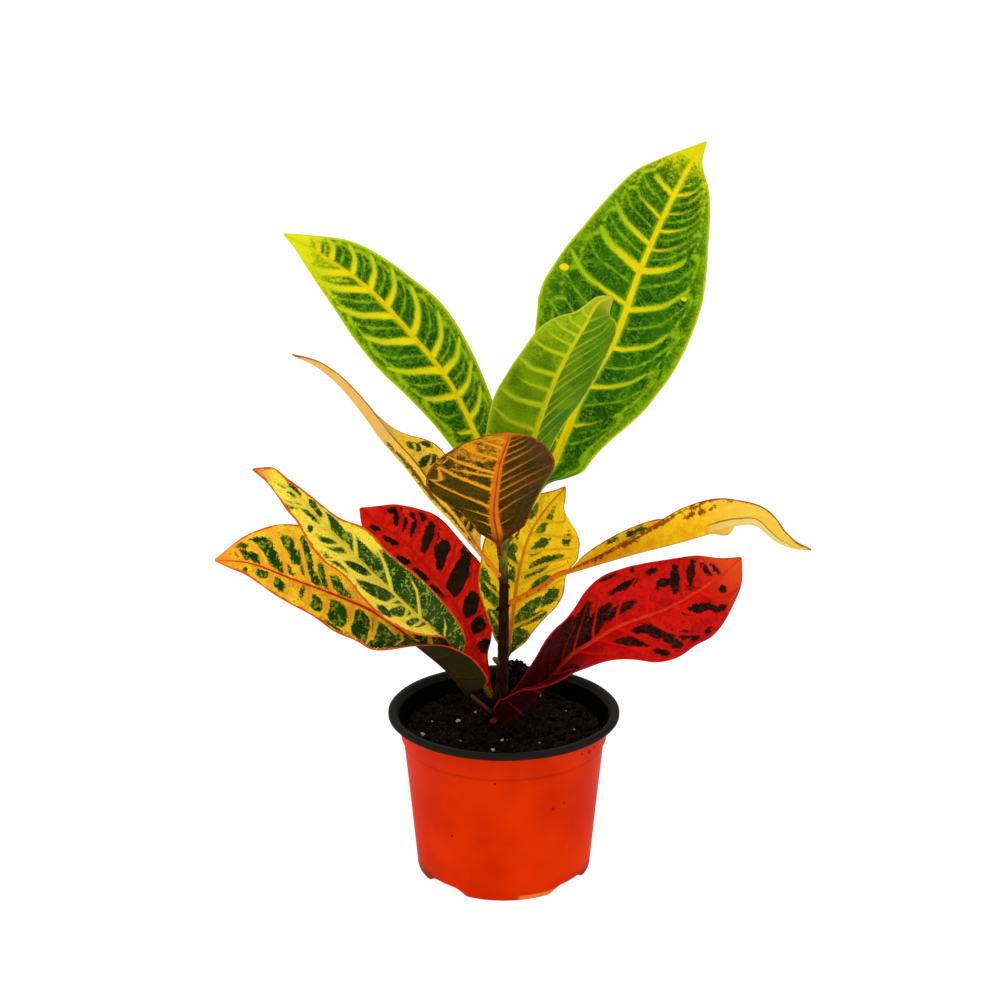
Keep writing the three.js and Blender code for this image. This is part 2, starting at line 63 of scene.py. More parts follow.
# Light: the white surroundings, a glowing white floor, and soft lamps as name, place, size and power
WORLD_STRENGTH = 1.07
FLOOR_GLOW = 0.86
FLOOR_SIDE = 6.0
AIM_HEIGHT = 0.18
LAMPS = [
    ("key", (-0.7, -1.0, 1.3), 0.9, 2.8),
    ("fill", (1.1, -0.8, 0.9), 1.0, 0.4),
    ("back", (0.2, 1.2, 1.2), 1.0, 0.4),
]

# Pot, as in the solid
POT_HEIGHT = 87
RIM_RADIUS = 60
RIM_DEPTH = 3
COLLAR_RADIUS = 54.6
COLLAR_FOOT_RADIUS = 53.4
COLLAR_Z = 72.5
BODY_TOP_RADIUS = 52.2
BASE_RADIUS = 45.75
WALL = 1.2
FLOOR = 1.4
CENTRE_RADIUS = 30
CHANNEL_HEIGHT = 3.2
FOOT_WIDTH = 4.8
FOOT_COUNT = 4
FOOT_TURN = 3
FOOT_HALF_ANGLE = 28
FOOT_SCALLOP = 10
# The wall is black from this point of its profile on, which is the underside of the rim
POT_BLACK_FROM = 11
# The inside of the wall from this point of its profile on: black plastic darkened further by painted shade
POT_INSIDE_FROM = 17
# Height of the thin line of painted shade at the collar's foot
COLLAR_LINE_Z = 70.2
POT_SEGMENTS = 240
SLOPE = (BODY_TOP_RADIUS - BASE_RADIUS) / (COLLAR_Z - 2)
# Small dark specks on the wall: x, y, z and radius
POT_SPECKS = [
    (24.5, -43.8, 50.7, 1.2), (-4.5, -51.6, 68.2, 0.9), (-51.8, -15, 73.5, 1.2), (42.7, -32.9, 76.7, 1.5),
    (-26.2, -41.1, 34.4, 1.0), (45.4, -29.1, 77.7, 1.1), (38.9, -37.3, 77.6, 1.0), (30, -40.5, 52.6, 0.7),
    (42.4, -29.5, 54, 0.9), (1.4, -42.5, 0.4, 1.8),
]

# Soil
GAP = 0.3
SOIL_LEVEL = 77
SOIL_RELIEF = 0.9
MOUND = {"x": 7, "y": 39, "height": 20, "radius": 7.5}
HOLE_DEPTH = 30
SOIL_SEGMENTS = 160
SOIL_RINGS = 34
SOIL_ROUGHNESS = 0.5
# Light bits lying on the soil: x, y and radius
SOIL_BITS = [
    (-23.8, 4.4, 1.5), (-5.6, -32.3, 1.4), (-41.9, -10.2, 1.1), (-15, 15.7, 0.8), (36.3, -7.3, 0.7),
    (-15.8, -35.8, 0.7), (-23.1, -32.3, 0.7), (-1, -22, 0.8), (18.2, -23.2, 0.7), (-22.4, -20.2, 0.8),
    (-37.6, 2.7, 0.8), (2.1, -21.4, 0.6), (-29, 32, 0.8), (19.6, 32, 0.6), (33, 15.7, 0.6),
]
CRUMBS = 420

# Stem: axis points and the radius at each
STEM = [
    (-2, 0, SOIL_LEVEL - HOLE_DEPTH + 1, 3.1),
    (-2, 0, 79, 3.4),
    (-1.2, 0, 95, 3.2),
    (-0.3, 0, 120, 2.8),
    (0, 0, 150, 2.4),
    (-0.3, 0.4, 172, 2.1),
    (0.6, 0.6, 186, 1.5),
]
NODE_HEIGHT = 15
NODE_SWELL = 0.07
STEM_RINGS = 150
STEM_SIDES = 32
BOSS_SIDES = 20
BOSS_LENGTH = 9
BOSS_ROOT_RADIUS = 1
# Scars of fallen leaves: x, y, z and radius
STEM_SCARS = [(3, 0.2, 111.2, 1.7), (1.6, 0.2, 108.8, 1.7), (-3.2, -0.6, 126, 0.7)]
BUD = {"from": (-2, -0.5, 112), "to": (-5.4, -2.2, 115), "radii": (2, 0.9)}

# Leaves
PETIOLE_RADIUS = 1.4
BLADE_THICKNESS = 0.7
MARGIN_THINNING = 0.35
# Midrib below, trough above it and grooves of the side veins: depth and width in mm
RIB_DEPTH = 1.1
TIP_RIB_DEPTH = 0.15
RIB_WIDTH = 0.9
TROUGH_DEPTH = 0.35
TROUGH_WIDTH = 1.0
GROOVE_DEPTH = 0.2
GROOVE_WIDTH = 0.8
FRONT = (0, -0.95, 0.31)
WAVE_FULL_WIDTH = 14
# Points along and across a blade, gathered towards the midrib, and the step for its direction
STATIONS = 170
COLUMNS = 57
GATHER = 1.4
STEP = 0.012
# The part of a half circle that one face of the petiole takes up
PETIOLE_ARC = 0.47
# Share of the half width at which the outer end of a side vein is given
VEIN_READ = 0.7
# Roundness of the patches, from 2 for an ellipse
PATCH_POWER = 2.4
# The map for baking: margin, width of one face and the offset of the lower one
MAP_EDGE = 0.01
MAP_WIDTH = 0.47
MAP_UNDER = 0.51

# spine: the midrib from the stem to the tip. petiole: its share of the length. left, right: half
# widths along the blade. tilt_left, tilt_right: the angle of each half in degrees, 0 in the plane
# square to facing and 90 along facing. curl: how far each half bends across. wave: height, count and
# phase of the waves of the margins.
LEAVES = {}
LEAVES["leaf_top_right"] = dict(
    petiole=0.14, tilt_left=[20, 15, 10, 5], tilt_right=[20, 15, 12, 8], curl=-14, wave=(1.2, 3, 0),
    spine=[
        (4, 4, 179), (12, 8, 190.5), (27, 22, 216.5), (39, 34, 243), (57, 48, 271), (71.5, 62, 307),
        (86, 72, 338), (98, 78, 359.5), (105, 78, 370)],
    left=[
        10, 14, 17.5, 21.5, 26, 31, 37, 42, 45.5, 46.4, 46.2, 43.9, 41, 37.4, 34.5, 31.2, 27.8, 23.6,
        15.9, 7.7, 0.5],
    right=[
        15, 17, 19, 23.1, 27.7, 30.9, 33, 34.3, 35.7, 36.6, 37, 37, 36.2, 34.2, 31.3, 27.9, 24.3, 19.7,
        13.8, 4.7, 0.5],
)
LEAVES["leaf_top_left"] = dict(
    petiole=0.14, tilt_left=[0, 0], tilt_right=[40, 46, 48, 45], curl=-14, wave=(1, 3, 0.3),
    spine=[
        (0, 4, 182), (-6, 10, 201), (-16, 20, 228), (-27.5, 30, 251), (-46, 40, 275.5),
        (-65.5, 48, 296), (-86.5, 54, 310.5), (-113, 56, 325)],
    left=[
        1.4, 9, 11, 13.3, 15.6, 18, 20.2, 21.9, 23.4, 24.8, 25.4, 25.5, 25.1, 24.1, 22.3, 19.7, 16.7,
        13.3, 9.1, 4.1, 0.5],
    right=[
        1.4, 12, 16, 18.4, 21, 23, 25.2, 26.6, 27.6, 28, 28, 27, 25.3, 24, 22.1, 19.9, 17.2, 13.7, 9.6,
        5.4, 0.5],
)
LEAVES["leaf_young"] = dict(
    facing=(0, 0.95, -0.31), petiole=0.1, tilt_left=[50, 45, 30, 20], tilt_right=[0, 0], curl=14,
    wave=(0.8, 3, 0),
    spine=[
        (3, -3, 189), (8, -8, 211), (15, -14, 236), (28, -24, 273), (38, -28, 292), (45, -28, 303),
        (51, -27, 305)],
    left=[
        1.4, 11, 12, 12.4, 12.8, 13.4, 14.8, 17, 19.2, 20.4, 20.4, 20, 19.7, 19.5, 19.1, 18.4, 17.2,
        15.9, 13, 9, 0.5],
    right=[
        1.4, 12.5, 16, 18.9, 20.9, 22.9, 23.8, 24.6, 24.8, 24.2, 23.1, 22.1, 20.8, 19.7, 18.7, 16.9,
        13.4, 8.5, 4.5, 2.6, 0.5],
)
LEAVES["leaf_front"] = dict(
    facing=(0, 0.7, 0.7), petiole=0.08, tilt_left=[25, 15, 10, 5], tilt_right=[20, 5, 5, 5], curl=8,
    wave=(0.5, 3, 0),
    spine=[
        (-2, -4, 172), (-3, -16, 184), (-5, -32, 202), (-4, -48, 218), (-2, -64, 235), (1, -80, 248),
        (2, -96, 256)],
    left=[
        1.4, 13, 16, 17.7, 19, 20.3, 21.5, 22.7, 23.8, 24.8, 25.7, 26.5, 26.7, 25.7, 23.5, 21, 17.9, 14,
        11.3, 8, 0.5],
    right=[
        1.4, 9.5, 11.5, 12.5, 14, 17, 22, 27.5, 31.5, 32.8, 32.8, 31.8, 29.5, 26.4, 22.4, 18.8, 15.8,
        13.2, 11, 7.1, 0.5],
)
LEAVES["leaf_folded_left"] = dict(
    petiole=0.1, left=[1.4, 6, 9, 12, 14, 12.5, 9.5, 6.5, 0.5],
    right=[1.4, 11, 17, 19, 17, 13, 9.5, 6.5, 0.5],
    tilt_left=[105, 115, 118, 114, 110, 112, 115, 115, 115],
    tilt_right=[0, 0, 0, 5, -50, -68, -72, -75, -75], curl=0, wave=(0, 1, 0),
    spine=[
        (-2.5, -3.5, 160), (-8, -6, 168), (-17, -8, 180), (-25.5, -10, 191), (-36, -12, 203),
        (-47, -12, 218), (-60, -12, 234), (-69, -12, 247), (-83, -12, 263.5), (-90.5, -12, 269.5),
        (-102, -12, 275)],
)
LEAVES["leaf_mid_left"] = dict(
    petiole=0.14, tilt_left=[95, 105, 68, 55, 42, 32, 10],
    tilt_right=[-10, -10, -10, 0, 18, 35, 42, 28, 0], curl=-8, wave=(0.6, 4, 0),
    spine=[
        (-7, -3, 94), (-10, -5, 100), (-17, -8, 110), (-25, -12, 121), (-33, -18, 133), (-44, -26, 147),
        (-63, -38, 172), (-83, -46, 198), (-99, -52, 218), (-116, -58, 230)],
    left=[
        1.4, 3, 5, 9, 14, 18, 19.5, 19.5, 19.5, 19.1, 18.1, 15.8, 14.9, 15.8, 14.8, 12.7, 10.9, 9.8,
        6.2, 2.4, 0.5],
    right=[
        1.4, 8.3, 11.5, 13.1, 14.2, 14.9, 15.1, 15.1, 14.6, 13.9, 14, 14.6, 16.3, 15.5, 10.5, 8, 6, 4.3,
        4, 5, 0.5],
)
LEAVES["leaf_low_left"] = dict(
    petiole=0.1, tilt_left=[120, 130, 122, 92, 54, 44, 41, 40, 38, 34, 30],
    tilt_right=[-35, -38, -32, -15, 0, 5, 5, 5, 5], curl=-8, wave=(0.7, 5, 0),
    spine=[
        (-7, -1, 84.5), (-10, -3, 88), (-17, -7, 96), (-29, -12, 113), (-44, -14, 127), (-67, -14, 145),
        (-83, -15, 153), (-105, -18, 163), (-127, -22, 173), (-142, -24, 175)],
    left=[
        1.4, 18, 22, 22.5, 21, 20, 20.5, 23, 24, 22.8, 21.7, 20.7, 19.1, 17.2, 15.3, 13.1, 11.6, 9.7,
        6.7, 4.1, 0.5],
    right=[
        1.4, 8.5, 12.5, 14.7, 16.1, 17, 17.3, 17.6, 18.2, 19.4, 21.5, 23.6, 25.8, 27.1, 28, 27.8, 26.2,
        22.6, 15.4, 7.8, 0.5],
)
LEAVES["leaf_red_left"] = dict(
    petiole=0.04, tilt_left=[20, 20], tilt_right=[10, 10], curl=-8, wave=(0.6, 4, 0),
    spine=[
        (-6, 2, 92), (-9, 5, 99), (-12, 8, 109), (-16, 10, 120), (-25, 16, 136), (-39, 22, 150),
        (-54, 26, 167), (-63, 28, 175), (-75, 30, 186)],
    left=[
        1.4, 3.6, 5, 8.5, 14.5, 17.2, 18.8, 20.1, 20.9, 20.9, 20.1, 19.7, 19.5, 18.8, 17.9, 16.6, 14.8,
        12.1, 8.2, 5.5, 0.5],
    right=[
        1.4, 3, 3.6, 5.2, 9.2, 12.5, 15, 17.8, 21.8, 25, 25.7, 26, 26, 25.8, 25.6, 24.3, 21.1, 17.9,
        13.9, 7.1, 0.5],
)
LEAVES["leaf_behind_stem"] = dict(
    petiole=0.05, tilt_left=[25, 25], tilt_right=[5, 5], curl=-8, wave=(0.6, 4, 0.2),
    spine=[
        (0.8, 4.7, 107), (1.6, 8, 114.5), (4.5, 12, 134), (8, 18, 157), (14.5, 24, 176),
        (22, 28, 186.5), (32, 32, 197)],
    left=[
        1.4, 4.2, 8, 10.5, 13.5, 16.3, 18.7, 20.4, 21.5, 22.2, 22.6, 23.4, 23.1, 21.9, 19.1, 16.4, 13.3,
        10.2, 6.4, 3, 0.5],
    right=[
        1.4, 4.8, 9.1, 11.4, 14.1, 17.5, 21.6, 24.1, 25.1, 24.9, 24.6, 25.6, 27.3, 28, 27.5, 26.5, 24.5,
        18.6, 8.2, 4.6, 0.5],
)
LEAVES["leaf_long_right"] = dict(
    facing=(0, 0, 1), petiole=0.22, left=[1.4, 8, 12, 14, 16, 16, 11, 7, 0.5],
    right=[1.4, 4, 8, 12, 15.8, 15.3, 10, 6.5, 0.5], tilt_left=[60, 60, 60, 55, 8, -28, 22, 50, 50],
    tilt_right=[70, 70, 75, 88, 92, 75, 60], curl=0, wave=(0, 1, 0),
    spine=[
        (3, -2.5, 145), (11, -7, 151), (19, -9, 156), (27, -11, 163), (40, -14, 168), (66, -17, 177),
        (97, -21, 187), (112, -24, 193), (121, -25, 194), (134, -26, 185), (141, -26, 182),
        (150, -26, 181)],
)
LEAVES["leaf_red_right"] = dict(
    petiole=0.05, tilt_left=[20, 20, 20, 20, 10, 0],
    tilt_right=[110, 128, 122, 90, 66, 54, 36, 22, 10, 5, 0], curl=-8, wave=(0.8, 4, 0),
    spine=[
        (-4.5, -4, 82), (-6, -8, 82.5), (-4, -12, 83.5), (2.5, -14.5, 86.5), (10.5, -16, 93),
        (21, -20, 107.5), (28.5, -23, 117), (34, -25, 124), (42.5, -30, 132), (59.5, -36, 145),
        (77, -40, 154), (94, -43, 166), (107, -45, 177), (113, -45, 183)],
    left=[
        1.4, 8, 11, 11.7, 11.8, 13.1, 14.9, 16.6, 17.9, 19.2, 22.3, 26.7, 29.1, 28.2, 27.2, 25.5, 22.6,
        18.8, 14.4, 7.1, 0.5],
    right=[
        1.4, 15, 19.5, 22, 23, 22, 19, 16, 13.5, 13.5, 15.5, 18, 20.6, 23.4, 23.8, 22, 22, 19.2, 14.5,
        9.1, 0.5],
)


# Curves

def smooth(knots, values, at):
    """Smooth curve through values at rising knots, with the mean slope of both sides at each knot."""
    knots = np.asarray(knots, float)
    values = np.asarray(values, float)
    columns = values.reshape(len(knots), -1)
    gaps = np.diff(knots)
    slopes = np.diff(columns, axis=0) / gaps[:, None]
    tangents = np.empty_like(columns)
    tangents[0] = slopes[0]
    tangents[-1] = slopes[-1]
    weights = gaps[1:, None] + gaps[:-1, None]
    tangents[1:-1] = (slopes[:-1] * gaps[1:, None] + slopes[1:] * gaps[:-1, None]) / weights
    at = np.clip(np.asarray(at, float), knots[0], knots[-1])
    i = np.clip(np.searchsorted(knots, at, side="right") - 1, 0, len(knots) - 2)
    step = gaps[i][:, None]
    f = ((at - knots[i]) / gaps[i])[:, None]
    out = columns[i] * (1 + 2 * f) * (1 - f) ** 2 + step * tangents[i] * f * (1 - f) ** 2
    out += columns[i + 1] * f * f * (3 - 2 * f) + step * tangents[i + 1] * f * f * (f - 1)
    return out.reshape((len(at),) + values.shape[1:])


def along(values, at):
    """Values spread evenly from 0 to 1."""
    return smooth(np.linspace(0, 1, len(values)), values, at)


def curve(points):
    """Curve through points: returns a reader by share of its length, and the length."""
    points = np.asarray(points, float)
    chords = np.linalg.norm(np.diff(points, axis=0), axis=1)
    knots = np.concatenate([[0], np.cumsum(chords)])
    fine = smooth(knots, points, np.linspace(0, knots[-1], 400))
    lengths = np.concatenate([[0], np.cumsum(np.linalg.norm(np.diff(fine, axis=0), axis=1))])

    def place(share):
        length = np.clip(np.asarray(share, float), 0, 1) * lengths[-1]
        return np.stack([np.interp(length, lengths, fine[:, k]) for k in range(3)], axis=-1)

    return place, lengths[-1]


def unit(vectors):
    return vectors / np.linalg.norm(vectors, axis=-1, keepdims=True)


def smoothstep(low, high, x):
    f = np.clip((x - low) / (high - low), 0, 1)
    return f * f * (3 - 2 * f)


# Meshes

def add_piece(name, points, faces, material, node):
    """A mesh in the scene that rides on root and stands for a node of the model."""
    mesh = bpy.data.meshes.new(name)
    mesh.from_pydata((np.asarray(points) * MM).tolist(), [], faces)
    mesh.materials.append(material)
    mesh.polygons.foreach_set("use_smooth", [True] * len(mesh.polygons))
    piece = bpy.data.objects.new(name, mesh)
    scene.collection.objects.link(piece)
    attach(piece, "root")
    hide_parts(node)
    return mesh


def add_attribute(mesh, name, values):
    """A measure for the material at each point: one number or three."""
    values = np.asarray(values, float)
    kind, field = ("FLOAT", "value") if values.ndim == 1 else ("FLOAT_VECTOR", "vector")
    mesh.attributes.new(name, kind, "POINT").data.foreach_set(field, np.ravel(values))


def grid_faces(rows, columns, start=0, closed=False, flip=False):
    """Quads of a grid of points in rows; closed joins the last column to the first."""
    faces = []
    for i in range(rows - 1):
        for j in range(columns if closed else columns - 1):
            a = start + i * columns + j
            b = start + i * columns + (j + 1) % columns
            quad = (a, b, b + columns, a + columns)
            faces.append(quad[::-1] if flip else quad)
    return faces


def extend(points, faces, more):
    """Add the points and faces of another closed body to those of a piece."""
    faces += [tuple(len(points) + k for k in face) for face in more[1]]
    points += more[0]


# Nodes

class Shader:
    """A material's node tree with short calls for the nodes used here."""

    def __init__(self, name):
        self.material = bpy.data.materials.new(name)
        self.material.use_nodes = True
        self.tree = self.material.node_tree
        self.shader = self.tree.nodes["Principled BSDF"]

    def node(self, kind, **settings):
        made = self.tree.nodes.new(kind)
        for key, value in settings.items():
            setattr(made, key, value)
        return made

    def put(self, socket, value):
        """Link a socket or set a value. A whole number for a colour is its code on screen."""
        if isinstance(value, bpy.types.NodeSocket):
            self.tree.links.new(value, socket)
        elif value is not None:
            coded = socket.type == "RGBA" and isinstance(value, int)
            socket.default_value = srgb(value) if coded else value

    def math(self, operation, first, second=None, third=None):
        made = self.node("ShaderNodeMath", operation=operation)
        for socket, value in zip(made.inputs, (first, second, third)):
            self.put(socket, value)
        return made.outputs[0]

    def ramp(self, value, low, high, start=0.0, end=1.0):
        """Smooth step from start to end as value goes from low to high."""
        made = self.node("ShaderNodeMapRange", interpolation_type="SMOOTHSTEP")
        for socket, number in zip(made.inputs, (value, low, high, start, end)):
            self.put(socket, number)
        return made.outputs[0]

    def mix(self, factor, first, second):
        made = self.node("ShaderNodeMix", data_type="RGBA")
        self.put(made.inputs[0], factor)
        self.put(made.inputs[6], first)
        self.put(made.inputs[7], second)
        return made.outputs[2]

    def attribute(self, name, output="Vector"):
        return self.node("ShaderNodeAttribute", attribute_name=name).outputs[output]

    def split(self, vector):
        made = self.node("ShaderNodeSeparateXYZ")
        self.put(made.inputs[0], vector)
        return made.outputs

    def join(self, x, y, z):
        made = self.node("ShaderNodeCombineXYZ")
        for socket, value in zip(made.inputs, (x, y, z)):
            self.put(socket, value)
        return made.outputs[0]

    def noise(self, vector, scale, detail=2.0, roughness=0.5):
        made = self.node("ShaderNodeTexNoise")
        self.put(made.inputs["Vector"], vector)
        self.put(made.inputs["Scale"], scale)
        self.put(made.inputs["Detail"], detail)
        self.put(made.inputs["Roughness"], roughness)
        return made.outputs[0]

    def place(self):
        return self.node("ShaderNodeTexCoord").outputs["Object"]

    def bump(self, height, strength, distance):
        made = self.node("ShaderNodeBump")
        self.put(made.inputs["Strength"], strength)
        self.put(made.inputs["Distance"], distance)
        self.put(made.inputs["Height"], height)
        self.put(self.shader.inputs["Normal"], made.outputs[0])

    def finish(self, **values):
        for name, value in values.items():
            self.put(self.shader.inputs[name.replace("_", " ")], value)
        return self.material

    # Short calls for the commonest operations
    mad = partialmethod(math, "MULTIPLY_ADD")
    mul = partialmethod(math, "MULTIPLY")
    add = partialmethod(math, "ADD")
    sub = partialmethod(math, "SUBTRACT")
    abs = partialmethod(math, "ABSOLUTE")
    least = partialmethod(math, "MINIMUM")
    over = partialmethod(math, "GREATER_THAN")


def srgb(code):
    """The linear colour of a code of red, green and blue as they look on screen."""
    values = [(code >> shift & 255) / 255 for shift in (16, 8, 0)]
    linear = [v / 12.92 if v <= 0.04045 else ((v + 0.055) / 1.055) ** 2.4 for v in values]
    return (*linear, 1.0)


# Stage

def add_camera():
    camera = bpy.data.objects.new("camera", bpy.data.cameras.new("camera"))
    camera.data.lens = LENS
    camera.data.sensor_width = SENSOR
    camera.location = CAMERA_PLACE
    camera.rotation_euler = (math.radians(90 - CAMERA_PITCH), 0, 0)
    scene.collection.objects.link(camera)
    scene.camera = camera


def add_area_light(name, place, size, power):
    light = bpy.data.objects.new(name, bpy.data.lights.new(name, "AREA"))
    light.data.shape = "DISK"
    light.data.size = size
    light.data.energy = power
    light.location = place
    aim = Vector((0, 0, AIM_HEIGHT)) - Vector(place)
    light.rotation_euler = aim.to_track_quat("-Z", "Y").to_euler()
    scene.collection.objects.link(light)


def add_stage():
    world = bpy.data.worlds.new("studio")
    world.use_nodes = True
    background = world.node_tree.nodes["Background"].inputs
    background["Color"].default_value = (1, 1, 1, 1)
    background["Strength"].default_value = WORLD_STRENGTH
    scene.world = world
    scene.view_settings.view_transform = "Standard"
    shader = Shader("floor")
    tone = shader.noise(shader.place(), 3.0)
    colour = shader.mix(tone, 0x8a8a8a, 0x8e8e8e)
    material = shader.finish(Base_Color=colour, Roughness=0.9, Specular_IOR_Level=0.1,
                             Emission_Color=(1, 1, 1, 1), Emission_Strength=FLOOR_GLOW)
    mesh = bpy.data.meshes.new("floor")
    corners = [(x * FLOOR_SIDE, y * FLOOR_SIDE, 0) for x, y in ((-1, -1), (1, -1), (1, 1), (-1, 1))]
    mesh.from_pydata(corners, [], [(0, 1, 2, 3)])
    mesh.materials.append(material)
    floor = bpy.data.objects.new("floor", mesh)
    scene.collection.objects.link(floor)
    for lamp in LAMPS:
        add_area_light(*lamp)


# Leaf shape

def half_points(width, tilt, curl, a):
    """Across and up from the midrib, the share a of the way along a half that bends by curl."""
    start = tilt - curl / 2
    if abs(curl) < 1e-3:
        return width * a * np.cos(start), width * a * np.sin(start)
    across = width * (np.sin(start + curl * a) - np.sin(start)) / curl
    up = width * (np.cos(start) - np.cos(start + curl * a)) / curl
    return across, up


def leaf_grid(leaf, shares, columns):
    """Middle surface, its frame along the midrib and the half width at each point."""
    place, length = curve(leaf["spine"])
    point = place(shares)
    forward = unit(place(shares + STEP) - place(shares - STEP))
    facing = np.array(leaf.get("facing", FRONT), float)
    up = unit(facing - (forward @ facing)[:, None] * forward)
    right = np.cross(forward, up)
    t = np.clip((shares - leaf["petiole"]) / (1 - leaf["petiole"]), 0, 1)
    grow = np.clip((shares - leaf["petiole"] + 0.03) / 0.05, 0, 1)
    height, count, phase = leaf["wave"]
    grid = np.empty((len(shares), len(columns), 3))
    widths = np.empty(grid.shape[:2])
    for j, u in enumerate(columns):
        hand = "left" if u < 0 else "right"
        side = -1 if u < 0 else 1
        a = abs(u)
        width = PETIOLE_RADIUS + (along(leaf[hand], t) - PETIOLE_RADIUS) * grow
        tilt = np.radians(along(leaf["tilt_" + hand], t))
        across, lift = half_points(width, tilt, math.radians(leaf["curl"]), a)
        fade = a * a * np.clip(width / WAVE_FULL_WIDTH, 0, 1) * grow
        wave = height * np.sin(2 * np.pi * (count * t + phase)) * fade
        across = across - wave * np.sin(tilt)
        lift = lift + wave * np.cos(tilt)
        grid[:, j] = point + side * across[:, None] * right + lift[:, None] * up
        widths[:, j] = width
    return {"grid": grid, "widths": widths, "point": point, "up": up, "right": right,
            "t": t, "length": length}


def grid_normals(grid):
    return unit(np.cross(np.gradient(grid, axis=1), np.gradient(grid, axis=0)))


def vein_field(veins, bend, arch, t, a):
    """Phase that counts the side veins of one half along t, and the half width of the nearest, in mm."""
    feet, outer, widths, reaches = (np.array(column, float) for column in zip(*veins))
    first, last = 2 * feet[0] - feet[1], 2 * feet[-1] - feet[-2]
    feet = np.concatenate([[first], feet, [last]])
    outer = np.concatenate([[2 * outer[0] - outer[1]], outer, [2 * outer[-1] - outer[-2]]])
    count = np.arange(len(feet))
    line = feet + (outer - feet) * (a / VEIN_READ) ** bend
    line = line + arch * np.diff(line, append=2 * line[-1] - line[-2]) * smoothstep(0.5, 1.0, a)
    phase = smooth(line, count, t)
    phase = phase + np.minimum(t - line[0], 0) * 8 + np.maximum(t - line[-1], 0) * 8
    width = np.interp(phase, count[1:-1], widths)
    reach = np.interp(phase, count[1:-1], reaches)
    inside = smoothstep(0.4, 0.6, phase) * smoothstep(len(feet) - 1.4, len(feet) - 1.6, phase)
    taper = np.clip(1 - 0.7 * a / reach, 0, 1) * smoothstep(reach + 0.08, reach - 0.08, a)
    return phase, width * taper * inside


def patch_field(patches, t, u, widths, length):
    """Depth in mm inside the nearest dark patch, and below 0 outside."""
    field = np.full(widths.shape, -5.0)
    for place_t, place_u, half_t, half_u, *lean in patches:
        along_part = np.abs(t - place_t - sum(lean) * (u - place_u)) / half_t
        across_part = np.abs(u - place_u) / half_u
        far = (along_part ** PATCH_POWER + across_part ** PATCH_POWER) ** (1 / PATCH_POWER)
        size = np.minimum(half_t * length, half_u * widths)
        field = np.maximum(field, (1 - far) * np.maximum(size, 0.4))
    return field


def spot_field(spots, t, u, widths, length):
    """Depth in mm inside the nearest light spot, each given as t, u and radius in mm."""
    field = np.full(widths.shape, -3.0)
    for place_t, place_u, radius in spots:
        field = np.maximum(field, radius - np.hypot((t - place_t) * length, (u - place_u) * widths))
    return field


